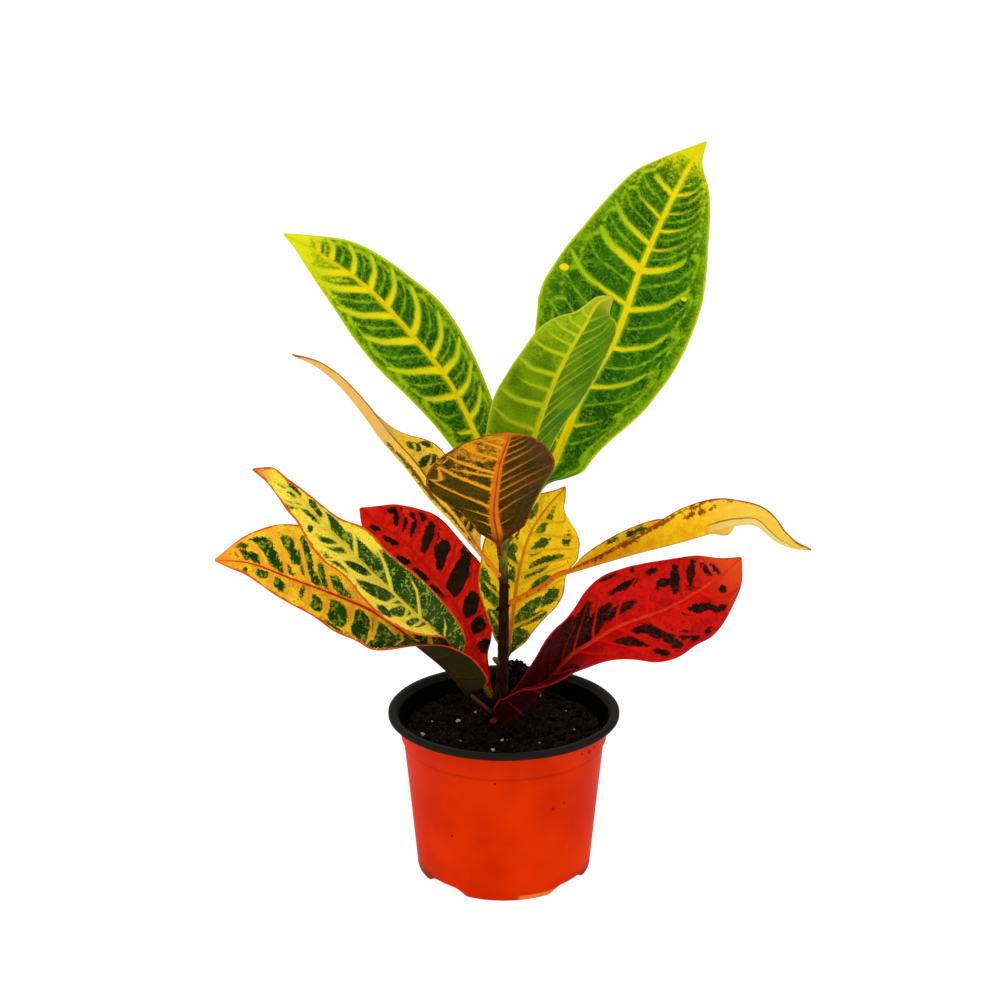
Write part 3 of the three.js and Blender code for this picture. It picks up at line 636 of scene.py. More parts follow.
def build_leaf(name, leaf, look):
    """A leaf as one closed mesh: petiole, blade with sunk veins above and a raised rib and veins below."""
    shares = np.linspace(0, 1, STATIONS)
    spread = np.linspace(-1, 1, COLUMNS)
    columns = np.sign(spread) * np.abs(spread) ** GATHER
    shape = leaf_grid(leaf, shares, columns)
    grid, widths = shape["grid"], shape["widths"]
    t = np.broadcast_to(shape["t"][:, None], widths.shape)
    u = np.broadcast_to(columns[None, :], widths.shape)
    # The drawn midrib may stray a little from the fold.
    drawn = u - along(look["stray"], shape["t"])[:, None] * (1 - np.abs(u))
    a = np.abs(drawn)
    normal = grid_normals(grid)
    open_blade = smoothstep(leaf["petiole"] - 0.02, leaf["petiole"] + 0.06, shares)[:, None]
    across_mm = a * widths
    phase, vein_width = np.empty(widths.shape), np.empty(widths.shape)
    for j in range(len(columns)):
        for hand, chosen in (("left", drawn[:, j] < 0), ("right", drawn[:, j] >= 0)):
            veins = look["veins_" + hand]
            for i in np.nonzero(chosen)[0]:
                value = vein_field(veins, look["bend_" + hand], look["arch"], t[i:i + 1, j], a[i, j])
                phase[i, j], vein_width[i, j] = value[0][0], value[1][0]
    hand_step = (drawn[:, 1:] >= 0) != (drawn[:, :-1] >= 0)
    along_step = np.linalg.norm(np.gradient(grid, axis=0), axis=-1)
    across_step = np.linalg.norm(np.gradient(grid, axis=1), axis=-1)
    slope_along = np.gradient(phase, axis=0) / along_step
    slope_across = np.diff(phase, axis=1)
    slope_across[hand_step] = 0
    slope_across = np.concatenate([slope_across[:, :1], slope_across], axis=1) / across_step
    spacing = np.clip(1 / np.maximum(np.hypot(slope_along, slope_across), 1e-4), 1, 60)
    between = 0.5 - np.abs(phase - np.floor(phase) - 0.5)
    fade = np.clip(across_mm / 3, 0, 1) * np.clip((1 - np.abs(u)) * widths / 3, 0, 1) * open_blade
    swell = look["quilt"] * np.sin(np.pi * between) * fade
    groove = GROOVE_DEPTH * np.exp(-(between * spacing / GROOVE_WIDTH) ** 2)
    groove = groove * np.clip(vein_width / 0.5, 0, 1) * fade
    middle = grid + normal * swell[..., None]
    rib = (RIB_DEPTH + (TIP_RIB_DEPTH - RIB_DEPTH) * t) * np.exp(-(across_mm / RIB_WIDTH) ** 2)
    trough = TROUGH_DEPTH * (1 - 0.8 * t) * np.exp(-(across_mm / TROUGH_WIDTH) ** 2)
    half = BLADE_THICKNESS / 2 * (1 - MARGIN_THINNING * np.abs(u) ** 6)
    top = middle + normal * (half - groove - trough)[..., None]
    bottom = middle - normal * (half + groove + rib)[..., None]
    # The petiole is round, set square to the line midway between the two halves.
    turn = np.radians(along(leaf["tilt_left"], shape["t"]) - along(leaf["tilt_right"], shape["t"])) / 2
    rod_up = shape["up"] * np.cos(turn)[:, None] + shape["right"] * np.sin(turn)[:, None]
    rod_right = shape["right"] * np.cos(turn)[:, None] - shape["up"] * np.sin(turn)[:, None]
    angle = PETIOLE_ARC * np.pi * columns
    aside = PETIOLE_RADIUS * np.sin(angle)[None, :, None] * rod_right[:, None, :]
    above = PETIOLE_RADIUS * np.cos(angle)[None, :, None] * rod_up[:, None, :]
    rod = shape["point"][:, None, :] + aside
    blend = open_blade[..., None]
    top = rod + above + (top - rod - above) * blend
    bottom = rod - above + (bottom - rod + above) * blend

    rows, count = widths.shape
    under = rows * count
    faces = grid_faces(rows, count) + grid_faces(rows, count, start=under, flip=True)
    for i in range(rows - 1):
        left, right = i * count, i * count + count - 1
        faces.append((left, left + count, under + left + count, under + left))
        faces.append((right, under + right, under + right + count, right + count))
    for j in range(count - 1):
        tip = (rows - 1) * count + j
        faces.append((j, under + j, under + j + 1, j + 1))
        faces.append((tip, tip + 1, under + tip + 1, under + tip))
    points = np.concatenate([top.reshape(-1, 3), bottom.reshape(-1, 3)])
    points = np.clip(points, np.array(cad_box[0]) / MM, np.array(cad_box[1]) / MM)
    mesh = add_piece(name + "_blade", points, faces, leaf_material(name, look), name)
    edge = (1 - np.abs(u)) * widths * open_blade + 10 * (1 - open_blade)
    patches = patch_field(look["patches"], t, u, widths, shape["length"])
    cover = [along(look.get(key, look["cover"]), shape["t"]) for key in ("cover_left", "cover_right")]
    patches = patches + np.where(drawn < 0, cover[0][:, None], cover[1][:, None])
    if look["arcade"]:
        loops = look["arcade"] + 0.12 * np.sin(np.pi * between)
        patches = np.minimum(patches, np.abs(a - loops) * widths - 0.8)
    down = np.broadcast_to(shares[:, None] * shape["length"], widths.shape)
    for title, parts in (
        ("blade", (drawn, t, edge)),
        ("flat", (drawn * widths / 10, down / 10, patches)),
        ("vein", (phase, spacing, vein_width)),
    ):
        values = np.stack(parts, axis=-1).reshape(-1, 3)
        add_attribute(mesh, title, np.concatenate([values, values]))
    spots = spot_field(look["spots"], t, drawn, widths, shape["length"]).ravel()
    side = np.zeros((2 * under, 3))
    side[under:, 0] = 1
    side[:, 1] = np.concatenate([spots, spots])
    add_attribute(mesh, "side", side)
    # Both faces side by side in one map
    across = MAP_EDGE + MAP_WIDTH / 2 * (u + 1)
    upward = MAP_EDGE + (1 - 2 * MAP_EDGE) * np.broadcast_to(shares[:, None], widths.shape)
    flat = np.stack([[across, across + MAP_UNDER], [upward, upward]], axis=-1).reshape(-1, 2)
    corners = np.empty(len(mesh.loops), int)
    mesh.loops.foreach_get("vertex_index", corners)
    mesh.uv_layers.new(name="OFBake").data.foreach_set("uv", flat[corners].ravel())


# Leaf colours

def leaf_material(name, look):
    """Ground, dark patches, side veins, midrib and margin from the leaf's own measures."""
    s = Shader(name)
    drawn, t, edge = s.split(s.attribute("blade"))
    x, y, patches = s.split(s.attribute("flat"))
    phase, spacing, vein_width = s.split(s.attribute("vein"))
    under, light, _ = s.split(s.attribute("side"))
    right = s.over(drawn, 0.0)
    sides = {"left": s.sub(1.0, right), "right": right, "both": 1.0}
    spot = s.join(x, y, look["seed"])
    blotch = s.sub(s.noise(spot, look["blotch_scale"], 3.0, 0.6), 0.5)
    grain = s.sub(s.noise(spot, look["grain_scale"], 3.0, 0.65), 0.5)
    fine = s.sub(s.noise(spot, 16.0, 2.0, 0.6), 0.5)
    broad = s.sub(s.noise(spot, 0.8, 3.0), 0.5)

    def by_side(key, colour=False):
        """A number or colour of the look, with its own value for the right half where one is given."""
        left, other = look[key], look.get(key + "_right", look[key])
        if left == other:
            return left
        return s.mix(right, left, other) if colour else s.mad(right, other - left, left)

    def tint(key):
        return by_side(key, True)

    def wash(colour, washes):
        for low, high, hand, shade, strength in washes:
            share = s.mul(s.ramp(t, low, high, 0.0, strength), sides[hand])
            colour = s.mix(share, colour, shade)
        return colour

    # Distances in mm from the veins, the midrib and the margin
    wander = s.mul(broad, look["wander"])
    away = s.mul(s.math("PINGPONG", s.add(phase, wander), 0.5), spacing)
    uneven = s.mul(vein_width, s.mad(blotch, 1.6, 1.0))
    from_vein = s.sub(s.mad(fine, look["vein_ragged"], away), uneven)
    midrib_width = s.mad(t, -0.65 * look["midrib_width"], look["midrib_width"])
    centre = s.abs(x)
    from_midrib = s.mul(s.sub(centre, midrib_width), 10.0)
    depth = s.least(patches, by_side("depth"))
    # A vein without width parts nothing.
    apart = s.add(from_vein, s.ramp(vein_width, 0.05, 0.3, 9.0, 0.0))
    depth = s.least(depth, s.sub(apart, by_side("gap")))
    depth = s.least(depth, s.sub(from_midrib, look["gap"]))
    depth = s.least(depth, s.mad(edge, look["edge_rise"], -look["edge_gap"]))
    if look["half_vein"]:
        # Thin lines midway between the side veins
        halfway = s.sub(s.mul(spacing, 0.5), away)
        inner = s.ramp(s.abs(drawn), 0.85, 0.35)
        thin = s.mul(inner, s.mad(broad, 5.0, 1.0))
        halfway = s.mad(thin, -look["half_vein"], s.mad(fine, 0.8, halfway))
        depth = s.least(depth, halfway)
    ragged = s.mad(blotch, by_side("ragged"), depth)
    ragged = s.mad(grain, look["ragged_fine"], ragged)
    patch = s.ramp(ragged, -look["soft"], look["soft"])

    tone = s.ramp(s.add(blotch, s.mul(grain, 0.7)), -0.16, 0.16)
    ground = s.mix(tone, tint("ground"), tint("ground_2"))
    ground = wash(ground, look["washes"])
    dark = s.mix(s.ramp(s.add(broad, fine), -0.15, 0.15), tint("patch"), tint("patch_2"))
    fleck = s.ramp(s.mad(blotch, 0.8, s.mul(grain, 0.8)), look["fleck_from"],
                   look["fleck_from"] + look["fleck_soft"], 0.0, look["fleck"])
    dark = s.mix(fleck, dark, look["fleck_colour"])
    if look["worms"]:
        # Meandering thin lines through the dark fields
        worm = s.abs(s.sub(s.noise(spot, look["worm_scale"], 2.0, 0.55), 0.5))
        dark = s.mix(s.ramp(worm, 0.008, 0.035, look["worms"], 0.0), dark, look["worm_colour"])
    colour = s.mix(patch, ground, dark)
    freckle = s.ramp(s.add(grain, s.mul(fine, 0.5)), -look["freckle_from"],
                     -look["freckle_from"] - 0.06, 0.0, look["freckle"])
    colour = s.mix(freckle, colour, look["patch_2"])
    vein = s.mul(s.ramp(from_vein, -0.35, look["vein_soft"], 1.0, 0.0), by_side("vein_strength"))
    vein = s.mul(vein, s.ramp(vein_width, 0.05, 0.3))
    far = s.ramp(s.mad(fine, 0.8, s.abs(drawn)), 0.1, 0.75)
    colour = s.mix(vein, colour, s.mix(far, tint("vein"), tint("vein_2")))
    if look["spots"]:
        light = s.ramp(s.mad(blotch, 1.5, light), -0.3, 0.5)
        colour = s.mix(light, colour, look["vein"])
    midrib = s.ramp(from_midrib, -0.4, 0.25, 1.0, 0.0)
    colour = s.mix(midrib, colour, s.mix(tone, look["midrib"], look["midrib_2"]))
    core = s.ramp(s.mad(broad, 0.04, centre), 0.012, 0.045, look["core"], 0.0)
    colour = s.mix(core, colour, look["core_colour"])
    rim = s.mad(blotch, -2.2 * look["margin_width"], edge)
    margin = s.ramp(rim, 0.5 * look["margin_width"], look["margin_width"], look["margin_strength"], 0.0)
    colour = s.mix(margin, colour, look["margin"])
    colour = wash(colour, look["glazes"])

    back = s.mix(tone, tint("under"), look["under_2"])
    back = wash(back, look["under_washes"])
    back = s.mix(s.mul(patch, look["under_patch"]), back, tint("under_patch_colour"))
    back = s.mix(s.mul(vein, look["under_vein"]), back, look["under_vein_colour"])
    if look["seam"]:
        # A dark line along the right half with a paler strip between it and the midrib
        start, level, line_colour, strip_colour = look["seam"]
        off = s.sub(s.mad(broad, 0.25, drawn), level)
        on = s.mul(right, s.ramp(t, start, start + 0.06))
        back = s.mix(s.mul(on, s.ramp(off, -0.02, 0.01, 0.85, 0.0)), back, strip_colour)
        line = s.ramp(s.abs(off), 0.015, 0.04, 0.8, 0.0)
        back = s.mix(s.mul(on, line), back, line_colour)
    back = s.mix(margin, back, look["margin"])
    colour = s.mix(s.mul(under, look["under_strength"]), colour, back)
    rough = s.ramp(fine, -0.2, 0.2, look["gloss"] - 0.04, look["gloss"] + 0.08)
    sunk = s.ramp(from_vein, -1.0, 1.0, 1.0, 0.0)
    relief = s.mad(sunk, -0.6, s.mul(grain, 0.5))
    s.bump(relief, 0.4, 0.0005)
    return s.finish(Base_Color=colour, Roughness=rough, Specular_IOR_Level=look["shine"])


def veins(reach, *rows):
    """Side veins: t of foot and of outer end, half width in mm, and the reach where it differs."""
    return [row if len(row) == 4 else (*row, reach) for row in rows]


# What each number of a look stands for
# seed: place in the noise. stray: how far the drawn midrib lies beside the fold, as a share of the half.
# quilt: swelling between the side veins in mm. bend, arch: curve of the side veins.
# patches: t and u of the middle, half length in t, half width in u, and lean.
# cover: extra depth of the dark field along the blade in mm. depth: the most that it counts.
# gap, edge_gap, edge_rise: how far the field keeps from veins and margin. arcade: u of a light band.
# half_vein: thin lines midway between the side veins. worms: strength of the lines that meander.
# ragged, ragged_fine, soft: unevenness and softness of the field's border.
# washes, glazes, under_washes: from t, to t, half, colour and strength, over ground, top and underside.
# seam: t of its start, u of the line, and the colours of line and strip.
PLAIN = dict(
    seed=0.0, stray=[0, 0], quilt=0.35, wander=0.12, bend_left=1.3, bend_right=1.3, arch=0.0,
    patches=[], cover=[0.6, 0.6], depth=1.4, gap=0.2, edge_gap=0.7, edge_rise=1.0, half_vein=0,
    blotch_scale=2.4, grain_scale=7.0, ragged=4.0, ragged_fine=4.0, soft=0.4, arcade=0, spots=[],
    seam=None, worms=0, worm_scale=2.6, worm_colour=0x78a608, fleck_soft=0.1, fleck=0.6,
    fleck_from=0.12, freckle=0.0, freckle_from=0.12, vein_strength=0.95, vein_ragged=1.6, vein_soft=0.5,
    midrib_width=0.14, core=0.0, core_colour=0x781e08, margin_width=0.7, margin_strength=0.85,
    washes=[], glazes=[], under_washes=[], under_strength=0.95, under_vein=0.3, under_patch=0.0,
    under_patch_colour=0x28240e, gloss=0.5, shine=0.04,
)
GREEN = PLAIN | dict(
    slot="green_leaf", cover=[9, 9], depth=2.2, gap=0.35, edge_gap=0.5, edge_rise=0.35, arch=0.3,
    half_vein=0.3, arcade=0.72, ragged=5.5, ragged_fine=3.5, soft=1.3, fleck=0.8, fleck_from=-0.02,
    fleck_soft=0.2, vein_soft=0.9, ground=0x70a404, ground_2=0xb0c80a, margin_width=1.1, patch=0x0c3e01,
    patch_2=0x245c02, fleck_colour=0x588e04, vein=0xe8ce06, vein_2=0xb8bc0c, midrib=0xf0d404,
    midrib_2=0xe2c806, margin=0xc2ca0e, under=0x607e14, under_2=0x507010, under_vein_colour=0x96a832,
)
YELLOW = PLAIN | dict(
    slot="yellow_leaf", arch=0.25, freckle=0.75, freckle_from=0.1, fleck=0.8, fleck_from=0.08,
    ground=0xe2b00c, ground_2=0xe09e0c, patch=0x122e02, patch_2=0x364a06, fleck_colour=0x969212,
    vein=0xe4b612, vein_2=0xe0a210, midrib=0xde8e12, midrib_2=0xd67c10, margin=0xc42e06, under=0x8e7016,
    under_2=0x705c16, under_vein_colour=0xb4821e,
)
RED = PLAIN | dict(
    slot="red_leaf", arch=0.25, freckle=0.3, ragged=2.6, ragged_fine=2.6, ground=0xc80e04,
    ground_2=0xa00804, patch=0x120501, patch_2=0x281002, fleck=0.5, fleck_colour=0x6e0c04,
    vein=0xd01406, vein_2=0xba0a05, midrib=0xce1a08, midrib_2=0xbe1006, margin=0x820405, under=0x3c060a,
    under_2=0x2a0509, under_vein_colour=0x8c101c,
)
LONG_LEAF_VEINS = veins(
    0.8, (0.1, 0.16, 0.2), (0.2, 0.27, 0.2), (0.3, 0.38, 0.25), (0.4, 0.49, 0.25), (0.5, 0.6, 0.3),
    (0.6, 0.7, 0.3), (0.7, 0.79, 0.3), (0.81, 0.88, 0.25))
LOOKS = {}
LOOKS["leaf_top_right"] = GREEN | dict(
    seed=1.0, midrib_width=0.26, bend_left=1.1, bend_right=1.8, quilt=0.5,
    spots=[(0.553, -0.88, 2.4), (0.578, 0.74, 1.7)], half_vein=0.1, vein_2=0x98b80c, vein_soft=0.9,
    vein_ragged=2.4, edge_rise=0.23, edge_gap=0.4, gap=0.8, gap_right=0.6, worms=0.35, worm_scale=1.5,
    patch=0x0e4001, patch_2=0x2c6402, fleck=0.6, ragged_fine=4.5,
    cover_right=[9, 9, 9, 9, 8.4, 7.6, 7, 6.2, 2], cover_left=[9, 9, 8.4, 7.2, 6.6, 6.5, 6.3, 5.7, 2],
    ground=0x7cae04, ground_2=0xb8ce0a, washes=[(0.75, 0.98, "both", 0xd8d00a, 0.95)],
    glazes=[(0.93, 1.0, "both", 0xd4cc0a, 0.8)],
    veins_left=veins(
        0.85, (0.1, 0.16, 0.3, 0.8), (0.22, 0.3, 0.3, 0.8), (0.36, 0.45, 0.4), (0.52, 0.555, 0.7, 1),
        (0.62, 0.66, 2.0, 0.78), (0.69, 0.73, 0.7, 0.9), (0.765, 0.8, 0.35), (0.835, 0.862, 0.8, 0.65)),
    veins_right=veins(
        0.9, (0.06, 0.09, 0.2, 0.6), (0.165, 0.215, 0.4, 0.6), (0.28, 0.365, 0.9, 0.72),
        (0.4, 0.465, 0.9, 0.72), (0.51, 0.575, 1.2, 0.8), (0.62, 0.69, 1.5, 0.62), (0.68, 0.75, 0.25),
        (0.735, 0.79, 0.35), (0.785, 0.84, 0.25), (0.84, 0.89, 0.4)),
)
LOOKS["leaf_top_left"] = GREEN | dict(
    seed=2.0, half_vein=0.1, cover_left=[9, 9, 9, 9, 8, 7.4, 6.8, 5, -2],
    cover_right=[9, 9, 9, 9, 8.5, 8, 7.4, 6.4, -1], vein_ragged=2.4, vein_soft=1.0, edge_rise=0.34,
    gap=0.7, worms=0.45, worm_scale=2.0, fleck=0.6, ragged_fine=4.5, ground=0x88b806, ground_2=0xc4d40c,
    gap_right=1.0, vein=0xf4de08, vein_2=0xc4cc0e, midrib_width=0.22, bend_left=1.0, bend_right=1.9,
    stray=[0.24, 0.2, 0.12, 0.07, 0.02, -0.03, -0.06, -0.05, -0.03, 0, 0],
    veins_left=veins(
        0.6, (0.05, 0.06, 0.5), (0.145, 0.157, 0.7), (0.262, 0.287, 1.5, 0.75),
        (0.355, 0.415, 1.6, 0.85), (0.47, 0.55, 1.6, 0.8), (0.57, 0.67, 1.3, 0.9),
        (0.685, 0.79, 1.3, 0.95), (0.77, 0.86, 1.3, 1)),
    veins_right=veins(
        0.9, (0.1, 0.13, 0.7, 0.8), (0.185, 0.215, 1.0, 0.85), (0.262, 0.285, 1.2), (0.345, 0.352, 1.5),
        (0.405, 0.437, 1.3, 0.85), (0.5, 0.55, 1.8, 0.85), (0.615, 0.632, 1.3), (0.69, 0.702, 1.3),
        (0.76, 0.776, 1.2), (0.838, 0.85, 1.1), (0.885, 0.9, 0.9)),
    washes=[
        (0.6, 0.85, "left", 0xced60e, 0.8), (0.8, 0.95, "both", 0xe8e010, 0.95)],
    glazes=[
        (0.7, 0.95, "left", 0xced810, 0.6), (0.86, 0.97, "right", 0xdede14, 0.8)],
)
LOOKS["leaf_young"] = GREEN | dict(
    seed=3.0, under_strength=0.0, midrib_width=0.16, fleck=0.3, arcade=0,
    cover_right=[9, 9, 9, 8, 6.6, 5.4, 5, 4.6], ragged=4, vein_soft=0.4, margin=0xbec23c,
    # The right half's ground, patches and veins are brighter than the left's: painted light on the right
    # half and painted shade on the left
    margin_width=0.9, vein_strength=0.9, half_vein=0, ground=0x607e06, ground_2=0x708c08,
    ground_right=0x9cb40a, ground_2_right=0xb0c00c, patch=0x3a6c02, patch_2=0x628e04,
    patch_right=0x487402, patch_2_right=0x749a04, bend_left=1.0, bend_right=1.0, midrib=0xccc408,
    midrib_2=0xbebe0c, vein=0x9eae1e, vein_2=0x8ca222, vein_right=0xbac212, vein_2_right=0xb0bc1c,
    fleck_colour=0x708e0e, glazes=[(0.86, 1.0, "both", 0xb0ae28, 0.8)],
    veins_left=veins(
        1, (0.2, 0.35, 0.35), (0.29, 0.45, 0.35), (0.365, 0.55, 0.45), (0.42, 0.6, 0.25),
        (0.49, 0.67, 0.5), (0.54, 0.73, 0.35), (0.62, 0.8, 0.4), (0.665, 0.84, 0.25), (0.71, 0.87, 0.4),
        (0.79, 0.9, 0.35), (0.85, 0.93, 0.3)),
    veins_right=veins(
        1, (0.2, 0.21, 0.8), (0.33, 0.335, 1.0), (0.445, 0.43, 1.4), (0.52, 0.515, 0.5, 0.8),
        (0.59, 0.575, 1.1), (0.685, 0.668, 0.9), (0.735, 0.73, 0.5, 0.9), (0.78, 0.776, 0.8),
        (0.816, 0.82, 0.7), (0.87, 0.875, 0.6)),
)
LOOKS["leaf_front"] = PLAIN | dict(
    slot="olive_leaf", seed=4.0, under_strength=0.0, cover_left=[9, 9, 9, 9, 8, 7, 6],
    cover_right=[9, 9, 9, 8, 6.6, 5.4, 4.6, 4.4, 4.4], depth=1.6, gap=0.25, gap_right=0.5, soft=0.9,
    # The right half's ground, patches and veins are brighter than the left's: painted light on the right
    # half and painted shade on the left
    vein_soft=0.7, edge_gap=0.4, ground=0x8c540c, ground_2=0x6e3e08, ground_right=0xda9410,
    ground_2_right=0xb8760c, fleck=0.3, fleck_colour=0x683c08, patch=0x282601, patch_2=0x4a3003,
    patch_right=0x262e02, patch_2_right=0x4c3c04, ragged=5, worms=0.2, worm_scale=2.4,
    worm_colour=0xa8540e, vein=0xc47c1a, vein_2=0x965c14, vein_strength=0.85, vein_right=0xeaa416,
    vein_2_right=0xe29816, vein_strength_right=0.95, midrib=0xde7a0c, midrib_2=0xd4620a,
    midrib_width=0.27, core=0.75, core_colour=0x8c2404, margin=0x8c3208, margin_width=0.8,
    under=0x784610, under_2=0x5a3c10, under_vein_colour=0xb46e1e, bend_left=1.0, bend_right=1.0,
    veins_left=veins(
        0.95, (0.06, 0.11, 0.25, 0.7), (0.155, 0.2, 0.3, 0.7), (0.24, 0.37, 0.45, 0.9),
        (0.345, 0.485, 0.5), (0.425, 0.565, 0.55), (0.495, 0.62, 0.3, 0.8), (0.545, 0.7, 0.4),
        (0.64, 0.79, 0.45), (0.71, 0.84, 0.35, 0.9), (0.785, 0.89, 0.45), (0.86, 0.94, 0.35, 0.9)),
    veins_right=veins(
        1, (0.06, 0.1, 0.3, 0.7), (0.145, 0.2, 0.4, 0.8), (0.22, 0.28, 0.4, 0.8), (0.29, 0.435, 0.9),
        (0.45, 0.555, 1.1), (0.55, 0.585, 0.5, 0.7), (0.575, 0.64, 1.0), (0.685, 0.725, 1.0),
        (0.78, 0.83, 0.9), (0.88, 0.91, 0.8, 0.9)),
    glazes=[
        (0.14, 0.02, "both", 0x5a1002, 0.8), (0.9, 1.0, "both", 0xc4640c, 0.9)],
)
LOOKS["leaf_folded_left"] = YELLOW | dict(
    seed=5.0, ground=0xf0cc46, ground_2=0xeebe2c, under=0xf6cc22, under_2=0xf2be26, under_vein=0.5,
    under_vein_colour=0xc47832, under_patch=0.9, under_patch_colour=0x36321c, margin=0x923816,
    margin_strength=0.9, margin_width=0.9,
    veins_left=veins(
        0.8, (0.12, 0.17, 0.2), (0.22, 0.27, 0.2), (0.32, 0.38, 0.25), (0.43, 0.49, 0.25),
        (0.54, 0.6, 0.25), (0.65, 0.71, 0.25), (0.76, 0.82, 0.25), (0.87, 0.91, 0.2)),
    veins_right=veins(
        0.8, (0.1, 0.14, 0.6), (0.2, 0.24, 0.6), (0.3, 0.34, 0.6), (0.37, 0.4, 0.6), (0.43, 0.46, 0.8),
        (0.5, 0.53, 0.6), (0.6, 0.62, 0.5), (0.7, 0.73, 0.3), (0.8, 0.83, 0.3), (0.9, 0.92, 0.2)),
    patches=[
        (0.12, 0.5, 0.02, 0.25), (0.18, 0.5, 0.02, 0.25), (0.24, 0.55, 0.02, 0.2),
        (0.32, 0.5, 0.02, 0.25), (0.4, 0.53, 0.014, 0.2, -0.03), (0.46, 0.62, 0.017, 0.1),
        (0.44, 0.86, 0.01, 0.07), (0.5, 0.3, 0.01, 0.06), (0.3, -0.16, 0.2, 0.26)],
    under_washes=[
        (0.28, 0.05, "both", 0xe29646, 0.75), (0.44, 0.62, "both", 0xe2b060, 0.75)],
    glazes=[
        (0.1, 0.0, "both", 0xde7818, 0.8), (0.5, 0.62, "both", 0xd6aa5c, 0.9)],
)
LOOKS["leaf_mid_left"] = YELLOW | dict(
    seed=6.0, midrib_width=0.13, cover_left=[2.4, 1.4, 0.7, 0.3, 0.2, 0.2],
    cover_right=[6, 5.4, 3.8, 2, 1, 0.6, 0.5, 0.4], depth=1.8, ragged=2.6, ragged_fine=3.2, soft=0.5,
    bend_left=1.0, bend_right=1.1, ground=0xf0dc44, ground_2=0xf2ce38, fleck_from=0.04, patch=0x163a06,
    patch_2=0x34501a, fleck_colour=0xa0b032, vein=0xe2d64a, vein_2=0xe8ce3c, midrib=0xe6d442,
    midrib_2=0xe8c838, margin=0xc4280a, margin_width=1.2, under=0x463c14, under_2=0x322c10,
    veins_left=veins(
        1, (0.16, 0.2, 0.5), (0.24, 0.3, 0.8), (0.315, 0.345, 0.8), (0.365, 0.43, 0.9),
        (0.475, 0.54, 0.9), (0.565, 0.62, 0.8), (0.62, 0.69, 0.7), (0.7, 0.78, 0.8), (0.78, 0.85, 0.7),
        (0.87, 0.91, 0.7)),
    veins_right=veins(
        0.9, (0.03, 0.07, 0.4, 0.7), (0.12, 0.175, 0.6, 0.65), (0.245, 0.345, 0.75, 0.8),
        (0.395, 0.515, 0.9), (0.57, 0.665, 0.9), (0.7, 0.757, 1.1), (0.8, 0.83, 0.9), (0.9, 0.92, 0.9)),
    patches=[
        (0.185, -0.55, 0.028, 0.4), (0.29, -0.5, 0.022, 0.26, -0.12),
        (0.355, -0.45, 0.022, 0.26, -0.12), (0.42, -0.8, 0.022, 0.1), (0.45, -0.42, 0.045, 0.36, -0.2),
        (0.55, -0.35, 0.028, 0.24, -0.15), (0.63, -0.82, 0.035, 0.06), (0.66, -0.4, 0.035, 0.2, -0.15),
        (0.75, -0.65, 0.01, 0.15), (0.78, -0.3, 0.035, 0.12, -0.25), (0.85, -0.72, 0.018, 0.2, -0.08),
        (0.875, -0.2, 0.025, 0.1, -0.1), (0.18, 0.5, 0.13, 0.48, 0.12), (0.4, 0.52, 0.1, 0.42, 0.16),
        (0.52, 0.28, 0.12, 0.24, 0.16), (0.7, 0.4, 0.035, 0.42, 0.1), (0.78, 0.45, 0.026, 0.42, 0.03),
        (0.86, 0.4, 0.018, 0.4, 0.03)],
    glazes=[
        (0.06, 0.0, "both", 0x3c2c12, 0.9), (0.92, 1.0, "both", 0xce3e18, 0.8)],
)
